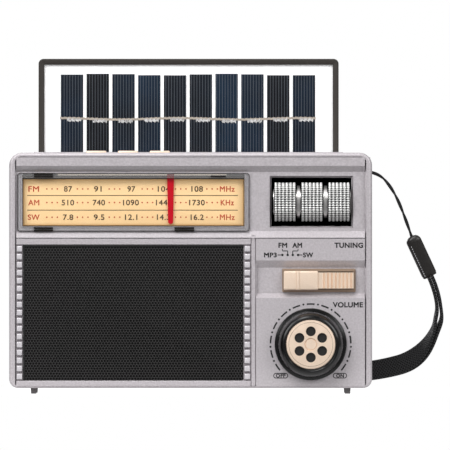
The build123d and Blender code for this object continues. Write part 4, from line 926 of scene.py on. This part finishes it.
# The print, in three rows: a figure has its middle and its width, a row its band, unit and their widths.
ROWS = (97.1, 90.65, 83.7)
CAP_HEIGHT = 2.6
FIGURES = (
    (("87", -58.1, 3.9), ("91", -44.0, 3.6), ("97", -28.1, 3.7), ("104", -12.7, 5.8), ("108", 3.1, 5.5)),
    (("510", -58.2, 5.9), ("740", -43.5, 5.8), ("1090", -28.3, 7.5), ("1440", -12.7, 7.5),
     ("1730", 3.0, 7.4)),
    (("7.8", -58.1, 4.9), ("9.5", -43.4, 5.0), ("12.1", -28.2, 5.9), ("14.3", -12.9, 6.2),
     ("16.2", 3.1, 6.2)),
)
figures = [(text, x, z, CAP_HEIGHT, wide) for z, row in zip(ROWS, FIGURES) for text, x, wide in row]
lettering("dial_figures", figures, ink_brown, CARD_PRINT, "dial_face", PLAIN_WEIGHT)
BANDS = (("FM", 5.1, "MHz", 7.1), ("AM", 5.3, "KHz", 6.3), ("SW", 5.6, "MHz", 7.1))
labels = [(band_name, -74.4, z, CAP_HEIGHT, wide) for z, (band_name, wide, *_) in zip(ROWS, BANDS)]
labels += [(units, 17.4, z, CAP_HEIGHT, wide) for z, (*_, units, wide) in zip(ROWS, BANDS)]
lettering("dial_band_names", labels, ink_red, CARD_PRINT, "dial_face", PLAIN_WEIGHT)
DOT_GROUPS = (-65.7, -51.2, -36.1, -20.5, -4.7, 10.2)
spots = [(x + step, z) for z in ROWS for x in DOT_GROUPS for step in (-2.5, 0, 2.5)]
mesh_piece("dial_dots", dots(spots, 0.36, CARD_PRINT), ink_red, slot="dial_face")
rules = [((-77.5, z), (22.4, z)) for z in (94.0, 87.05)]
mesh_piece("dial_rules", strokes(rules, 0.36, -18.5), ink_olive, slot="dial_face")

mesh_piece(
    "dial_lens_sheet", plate(LENS, 1.4, edge(-21.6, -20.1, 0.35)), acrylic, stands_for="dial_lens",
    slot="clear",
)
# Rings of painted reflection round the lens: dark edge lines and bright glints.
LENS_LINES = (
    ("lens_outer_edge", 0.0, 0.3, acrylic_edge), ("lens_outer_glint", 0.9, 1.2, acrylic_glint),
    ("lens_inner_glint", 1.9, 2.15, acrylic_glint), ("lens_inner_edge", 2.5, 2.72, acrylic_edge),
)
for name, out, into, skin in LENS_LINES:
    rise = [(out, -21.55), ((out + into) / 2, -21.68), (into, -21.55), (into, -20.6), (out, -20.6)]
    mesh_piece(name, plate(LENS, 1.4, rise, ring=True), skin, slot="clear")
# Each clip's shaded gap is painted as two dark bars, one above the other, but for the one at the upper right.
slots = [
    (-74.3, -65.2, 103.7, 104.65), (-74.3, -65.2, 102.6, 103.5), (9.5, 16.7, 102.75, 103.5),
    (-74.3, -65.2, 78.1, 79.0), (-74.3, -65.2, 77.0, 77.9), (-7.7, 1.7, 78.1, 79.0), (-7.7, 1.7, 77.0, 77.9),
]
mesh_piece(
    "clip_slots", merged([plate(box, 0.12, edge(-21.95, -21.2, 0.08)) for box in slots]), clip_black,
    slot="black_plastic",
)
rail_bed = plate((-79.6, 25.4, 101.8, 104.5), 0.1, edge(-18.7, -17.9, 0.1))
mesh_piece("rail_bed", rail_bed, bed_grey, slot="shell")
rail_profile = [(0.01, -63.0), (0.35, -63.0), (0.35, 17.0), (0.01, 17.0)]
rail = turned(rail_profile, (-18.6, 103.8), "x", 16)
mesh_piece("pointer_rail_rod", rail, rail_cream, stands_for="pointer_rail", slot="steel")
top_lip = plate((-79.6, 25.4, 101.9, 104.4), 0.3, edge(-21.3, -20.7, 0.2))
mesh_piece("lens_top_lip", top_lip, acrylic_lip, slot="clear")


def pointer_blade():
    """A tapering bar, wide at the top, whose foot is a half circle."""
    a = np.linspace(math.pi, 2 * math.pi, 13)
    foot = np.stack([-9.5 + 1.2 * np.cos(a), 81.65 + 1.2 * np.sin(a)], 1)
    ring = np.concatenate([foot, [(-7.8, 104.2), (-11.2, 104.2)]])
    return closed([np.insert(ring, 1, y, 1) for y in (-19.8, -19.0)])


pointer = mesh_piece(
    "dial_pointer", pointer_blade(), pointer_red, body="pointer", stands_for="pointer", slot="red",
)
soften(pointer, 0.15)
mesh_piece(
    "pointer_carriage",
    plate((-12.5, -6.5, 102.3, 107.3), 0.4, edge(-17.7, -15.2, 0.3)), matt_black, body="pointer", slot="red",
)


# ---------------------------------------------------------------- tuning drum
def drum_sections():
    """Three knurled barrels, with six studs along each and 54 round it.

    The radius is 9.7 mm plus 0.6 mm times the sum of a wave along X and one round the axis, cut off at
    its top and bottom. Over the last 0.3 mm it falls to 9.35 mm."""
    parts = []
    a = np.linspace(0, 2 * math.pi, 324, endpoint=False)
    for x0, x1 in ((39.5, 50.0), (52.3, 62.75), (65.05, 75.6)):
        t = np.linspace(x0, x1, 62)
        u = (t - x0) / (x1 - x0) * 6
        columns = np.abs(np.sin(math.pi * u))[:, None] ** 1.4
        rows = np.sin(a * 27)[None, :] ** 2
        stud = np.clip((columns + rows) * 0.68 - 0.3, 0, 1)
        ends = np.clip(np.minimum(t - x0, x1 - t) / 0.3, 0, 1)[:, None]
        r = 9.7 + 0.6 * stud * ends - 0.35 * (1 - ends)
        x = np.broadcast_to(t[:, None], r.shape)
        parts.append(closed(np.stack([x, DRUM[1] + r * np.cos(a), DRUM[2] + r * np.sin(a)], -1)))
    return merged(parts)


mesh_piece(
    "tuning_drum_knurl", drum_sections(), knurl_plating, body="tuning_drum", stands_for="tuning_drum",
    slot="plated", crease=60,
)
necks_profile = [
    (0.01, 39.2), (7.4, 39.2), (7.4, 50.4), (8.8, 50.5), (8.8, 51.8), (7.4, 51.9),
    (7.4, 63.1), (8.8, 63.2), (8.8, 64.6), (7.4, 64.7), (7.4, 75.8), (0.01, 75.8),
]
mesh_piece(
    "tuning_drum_necks", turned(necks_profile, DRUM[1:], "x", 96), neck_plating, body="tuning_drum",
    slot="plated",
)
well_profile = [(0, -18.2), (0, -1.8), (1.2, -3.0), (1.2, -18.2)]
mesh_piece(
    "drum_well_lining", plate((37.1, 77.3, 78.0, 104.0), 0.3, well_profile), matt_black,
    stands_for="drum_well", slot="black_plastic",
)

# ---------------------------------------------------------------- plate lettering
# Each word has its middle, cap height and width.
plate_words = [
    ("TUNING", 74.95, 70.4, 2.5, 13.6), ("FM", 43.7, 70.4, 2.4, 4.2), ("AM", 50.5, 70.4, 2.4, 4.7),
    ("MP3", 37.8, 65.8, 2.3, 6.1), ("SW", 55.7, 65.8, 2.3, 4.9), ("VOLUME", 74.5, 42.2, 2.5, 14.4),
    ("OFF", 42.7, 8.6, 1.7, 4.7), ("ON", 70.8, 8.6, 1.7, 3.7),
]
lettering("plate_words", plate_words, ink_black, PLATE_PRINT, "shell", BOLD_WEIGHT)
# Leader lines from the band names to the slider's four stops.
leaders = [
    ((43.5, 68.6), (43.5, 67.8)), ((43.5, 67.7), (46.0, 67.7)), ((46.0, 67.8), (46.0, 66.1)),
    ((50.9, 68.6), (50.9, 67.8)), ((50.9, 67.7), (48.4, 67.7)), ((48.4, 67.8), (48.4, 66.1)),
    ((41.2, 65.8), (43.0, 65.8)), ((51.2, 65.8), (53.0, 65.8)),
]
stops = [(x, 65.8) for x in (43.5, 46.0, 48.4, 50.9)]
mesh_piece(
    "band_marks", merged([strokes(leaders, 0.42, PLATE_PRINT), dots(stops, 0.6, FACE - 0.04)]), ink_black,
    slot="shell",
)


def volume_scale():
    """Thirteen dashes of 11.2 degrees, one every 20.8 degrees round the knob, with a dot between each two."""
    pitch = 20.8
    section = [
        (18.68, PLATE_PRINT), (19.42, PLATE_PRINT), (19.42, FACE + PRINT_THICK), (18.68, FACE + PRINT_THICK),
    ]
    parts = []
    for k in range(-6, 7):
        angles = 90 + k * pitch + np.linspace(-5.6, 5.6, 7)
        rings = [np.insert(around_knob(radius, angles), 1, y, 1) for radius, y in section]
        faces = quads(4, 7, loop_rows=True) + [[0, 7, 14, 21], [27, 20, 13, 6]]
        parts.append((np.concatenate(rings), faces))
    between = around_knob(19.1, 90 + (np.arange(-6, 6) + 0.5) * pitch)
    return merged(parts + [dots(between, 0.5, PLATE_PRINT)])


mesh_piece("volume_scale", volume_scale(), ink_black, slot="shell")
pill_line = [(0, PLATE_PRINT), (0.4, PLATE_PRINT), (0.4, FACE + PRINT_THICK), (0, FACE + PRINT_THICK)]
pill_boxes = [(39.2, 46.2, 7.3, 9.9), (67.4, 74.1, 7.3, 9.9)]
pills = [plate(box, 1.25, pill_line, ring=True) for box in pill_boxes]
mesh_piece("switch_pills", merged(pills), ink_black, slot="shell")


# ---------------------------------------------------------------- band slider
def slider_piece(name, shape, skin, **more):
    """A piece that rides on the slider."""
    return mesh_piece(name, shape, skin, body="band_slider", **more)


def slider_ribs():
    """The ribbed grip: a height over X that is flat, then a row of rounded waves 1.83 mm apart."""
    x = np.linspace(60.2, 77.3, 140)
    wave = np.clip(np.cos((x - 64.2) * 2 * math.pi / 1.83) * 2.2 + 0.9, -1, 1) * 0.42
    on = np.clip((x - 62.6) / 0.4, 0, 1) * np.clip((77.2 - x) / 0.4, 0, 1)
    section = np.stack([x, -23.4 - wave * on], 1)
    ring = np.concatenate([section, [(77.3, -20.9), (60.2, -20.9)]])
    return closed([np.insert(ring, 2, z, 1) for z in (49.9, 57.5)])


skirt_profile = [(0, -20.3), (0, -20.8), (1.3, -22.2), (1.3, -20.3)]
skirt = plate(SLIDE, 0.5, skirt_profile)
stem = plate((58.5, 62.9, 52.0, 54.6), 0.2, edge(-21.0, -5.2, 0.1))
cap = plate((44.1, 60.5, 49.2, 58.2), 0.7, edge(-24.3, -20.9, 0.7, 4))
index_ridge = plate((50.2, 51.5, 49.25, 58.15), 0.2, edge(-24.95, -23.9, 0.4))
slider_piece("slider_skirt", skirt, champagne_dark, stands_for="slider_shield", slot="gold")
slider_piece("slider_stem", stem, matt_black, slot="black_plastic")
slider_piece("slider_cap", cap, champagne, stands_for="band_slider", slot="gold")
slider_piece("slider_grip", slider_ribs(), champagne, slot="gold", crease=50)
slider_piece("slider_index", index_ridge, champagne, slot="gold")

# ---------------------------------------------------------------- volume knob
# Profiles are (radius, y): a domed rim, a groove, a flange and the hollow behind.
ring_profile = [
    (3.0, -31.4), (11.75, -31.4), (11.75, -32.6), (12.1, -33.1), (12.7, -33.45), (13.4, -33.2), (14.2, -32.2),
    (14.9, -30.6), (15.4, -28.6), (15.7, -26.6), (15.75, -26.2), (16.2, -26.1), (16.7, -25.95), (17.0, -25.6),
    (17.1, -25.1), (17.1, -23.4), (16.9, -23.1), (14.4, -23.1), (13, -28.4), (5.5, -28.4), (5.5, -23.2),
    (3.0, -23.2), (3.0, -31.4),
]
disc_profile = [
    (0.01, -32.3), (2.45, -32.3), (2.6, -31.95), (2.85, -31.95), (3.05, -32.6), (11.1, -32.6),
    (11.55, -32.45), (11.7, -32.1), (11.7, -31.3), (0.01, -31.3),
]
disc_holes = around_knob(6.2, np.arange(30, 390, 60))
mesh_piece(
    "volume_knob_ring", turned(ring_profile, KNOB, "y", 128), gloss_black, body="volume_knob",
    stands_for="volume_knob", slot="gloss_black", crease=28,
)
gold_disc = mesh_piece(
    "volume_knob_disc", turned(disc_profile, KNOB, "y", 96), champagne, body="volume_knob",
    stands_for="knob_disc", slot="gold", crease=25,
)
carve(gold_disc, [drilling(place, 2.35, -36, -31.5, 40) for place in disc_holes])
soften(gold_disc, 0.1, 1)
mesh_piece(
    "knob_disc_wells", merged([drilling(place, 2.3, -31.6, -31.45, 32) for place in disc_holes]), matt_black,
    body="volume_knob", slot="gloss_black",
)
beads = dots(around_knob(10.4, np.arange(0, 360, 3.0)), 0.17, -32.66)
mesh_piece("knob_disc_beads", beads, champagne_dark, body="volume_knob", slot="gold")


# ---------------------------------------------------------------- top buttons
def button_cap(x):
    """A rounded oblong cap standing through the top: an outline in X and Y carried up in Z."""
    profile = [(0, 111.5), (0, 114.7), (0.15, 115.1), (0.5, 115.3)]
    box = (x - 4.85, x + 4.85, -7.0, -1.0)
    return closed([np.insert(corner_line(box, (0.9,) * 4, inset, 5), 2, z, 1) for inset, z in profile])


for number, x in (("1", -44.9), ("2", -29.8), ("3", -14.7)):
    mesh_piece(
        "button_cap_" + number, button_cap(x), champagne, body="button_" + number,
        stands_for="top_button_" + number, slot="gold",
    )

# ---------------------------------------------------------------- solar panel
def panel_piece(name, shape, skin, slot, stands_for=None):
    """A piece that swings with the solar panel."""
    return mesh_piece(name, shape, skin, body="solar_panel", stands_for=stands_for, slot=slot)


frame_profile = [
    (0.3, 33.0), (0, 32.6), (0, 28.5), (0.35, 28.0), (2.4, 28.0), (2.8, 28.3), (2.8, 30.9),
    (4.0, 30.9), (4.0, 33.0),
]
surround = plate(PANEL, (2.4, 2.4, 0.8, 0.8), frame_profile, ring=True)
back = plate((-70.0, 67.8, 102.8, 157.0), 0.5, [(0, 33.0), (0, 30.7)])
lower_rail = plate((-70, 68, 100.8, 109.3), 0.5, edge(28.1, 31.0, 0.3))
sheet = plate((-70.1, 67.9, 109.2, 156.7), 0.4, edge(29.4, 30.6, 0.1))
panel_piece("panel_surround", surround, dark_abs, "panel_frame", "panel_frame")
panel_piece("panel_back", back, dark_abs, "panel_frame")
panel_piece("panel_lower_rail", lower_rail, dark_abs, "panel_frame")
panel_piece("panel_sheet", sheet, backsheet, "backsheet", "panel_backsheet")
# The strips are cut by hand, so that their tops waver by 0.4 mm.
cells = []
for number in range(CELLS):
    x = FIRST_CELL + CELL_PITCH * number
    top = 151.9 + 0.4 * math.sin(number * 1.3)
    cells.append(plate((x - 5.35, x + 5.35, 111.5, top), 0.1, edge(29.15, 29.45, 0.05), steps=2))
panel_piece("silicon_strips", merged(cells), silicon, "silicon", "solar_cells")


def ribbon_height(x):
    """Where the ribbon hangs at x: it drifts by 0.35 mm along the panel."""
    return 0.35 * np.sin(x * 0.11 + 2.2)


def foil(x, high, low, y):
    """A strip 0.15 mm thick between two heights, given at each x."""
    section = ((y, low), (y, high), (y + 0.15, high), (y + 0.15, low))
    rows = [np.column_stack([x, np.full(len(x), depth), z]) for depth, z in section]
    n = len(x)
    ends = [[0, n, 2 * n, 3 * n], [4 * n - 1, 3 * n - 1, 2 * n - 1, n - 1]]
    return np.concatenate(rows), quads(4, n, loop_rows=True) + ends


def tinned_strip():
    """The ribbon over all the cells: about 1 mm wide, its edges moved by two short sines of x."""
    x = np.linspace(-62.6, 59.6, 500)
    middle = 130.8 + ribbon_height(x)
    waver = 0.12 * np.sin(x * 2.9) + 0.1 * np.sin(x * 7.3 + 1)
    return foil(x, middle + 0.5 + waver, middle - 0.55 + 0.5 * waver, 29.02)


def solder_marks():
    """Rough solder on each cell: 1.2 mm wide, its edges moved by two sines that differ from cell to cell."""
    marks = []
    for k in range(CELLS):
        middle = FIRST_CELL + 1.05 + CELL_PITCH * k
        x = np.linspace(middle - 3.4, middle + 3.4, 90)
        rough = 0.34 * np.sin(x * 3.3 + k) + 0.26 * np.sin(x * 7.1 + 2 * k)
        height = 129.9 + ribbon_height(middle)
        marks.append(foil(x, height + 0.6 + rough, height - 0.6 + 0.7 * rough[::-1], 28.98))
    return merged(marks)


panel_piece("cell_ribbon_strip", tinned_strip(), ribbon_tin, "steel")
panel_piece("cell_solder", solder_marks(), solder, "steel")
cover = plate((-70.0, 67.8, 109.2, 156.6), 0.4, edge(28.45, 28.95, 0.1))
panel_piece("cell_cover_sheet", cover, cover_film, "clear", "panel_cover")

# ---------------------------------------------------------------- finishes of the CAD's own pieces
own = (
    (silver_abs, ("rear_cabinet", "battery_door")),
    (foot_grey, ("feet",)),
    (steel, (
        "idler_axle", "drum_shaft", "volume_shaft", "volume_pot", "band_switch", "speaker_frame",
        "side_sockets", "battery_contacts", "cabinet_screws", "panel_hinge_pins", "strap_pin",
    )),
    (matt_black, ("ferrite_clips", "battery_tray", "tuning_wheel", "idler_pulley")),
    (cord_braid, ("dial_cord",)),
    (paper_cone, ("speaker_cone",)),
    (ferrite, ("speaker_magnet", "ferrite_rod")),
    (copper, ("ferrite_coil",)),
    (chip_black, ("tuning_pot", "board_chips", "tact_switches")),
    (circuit, ("main_board", "button_board", "socket_board")),
    (shrink_wrap, ("battery_cell",)),
    (mast_chrome, (
        "aerial_pivot", "aerial_knuckle", "aerial_tube_1", "aerial_tube_2", "aerial_tube_3", "aerial_tube_4",
    )),
)
for skin, names in own:
    for name in names:
        finishes = nodes[name].data.materials
        finishes.clear()
        finishes.append(skin)
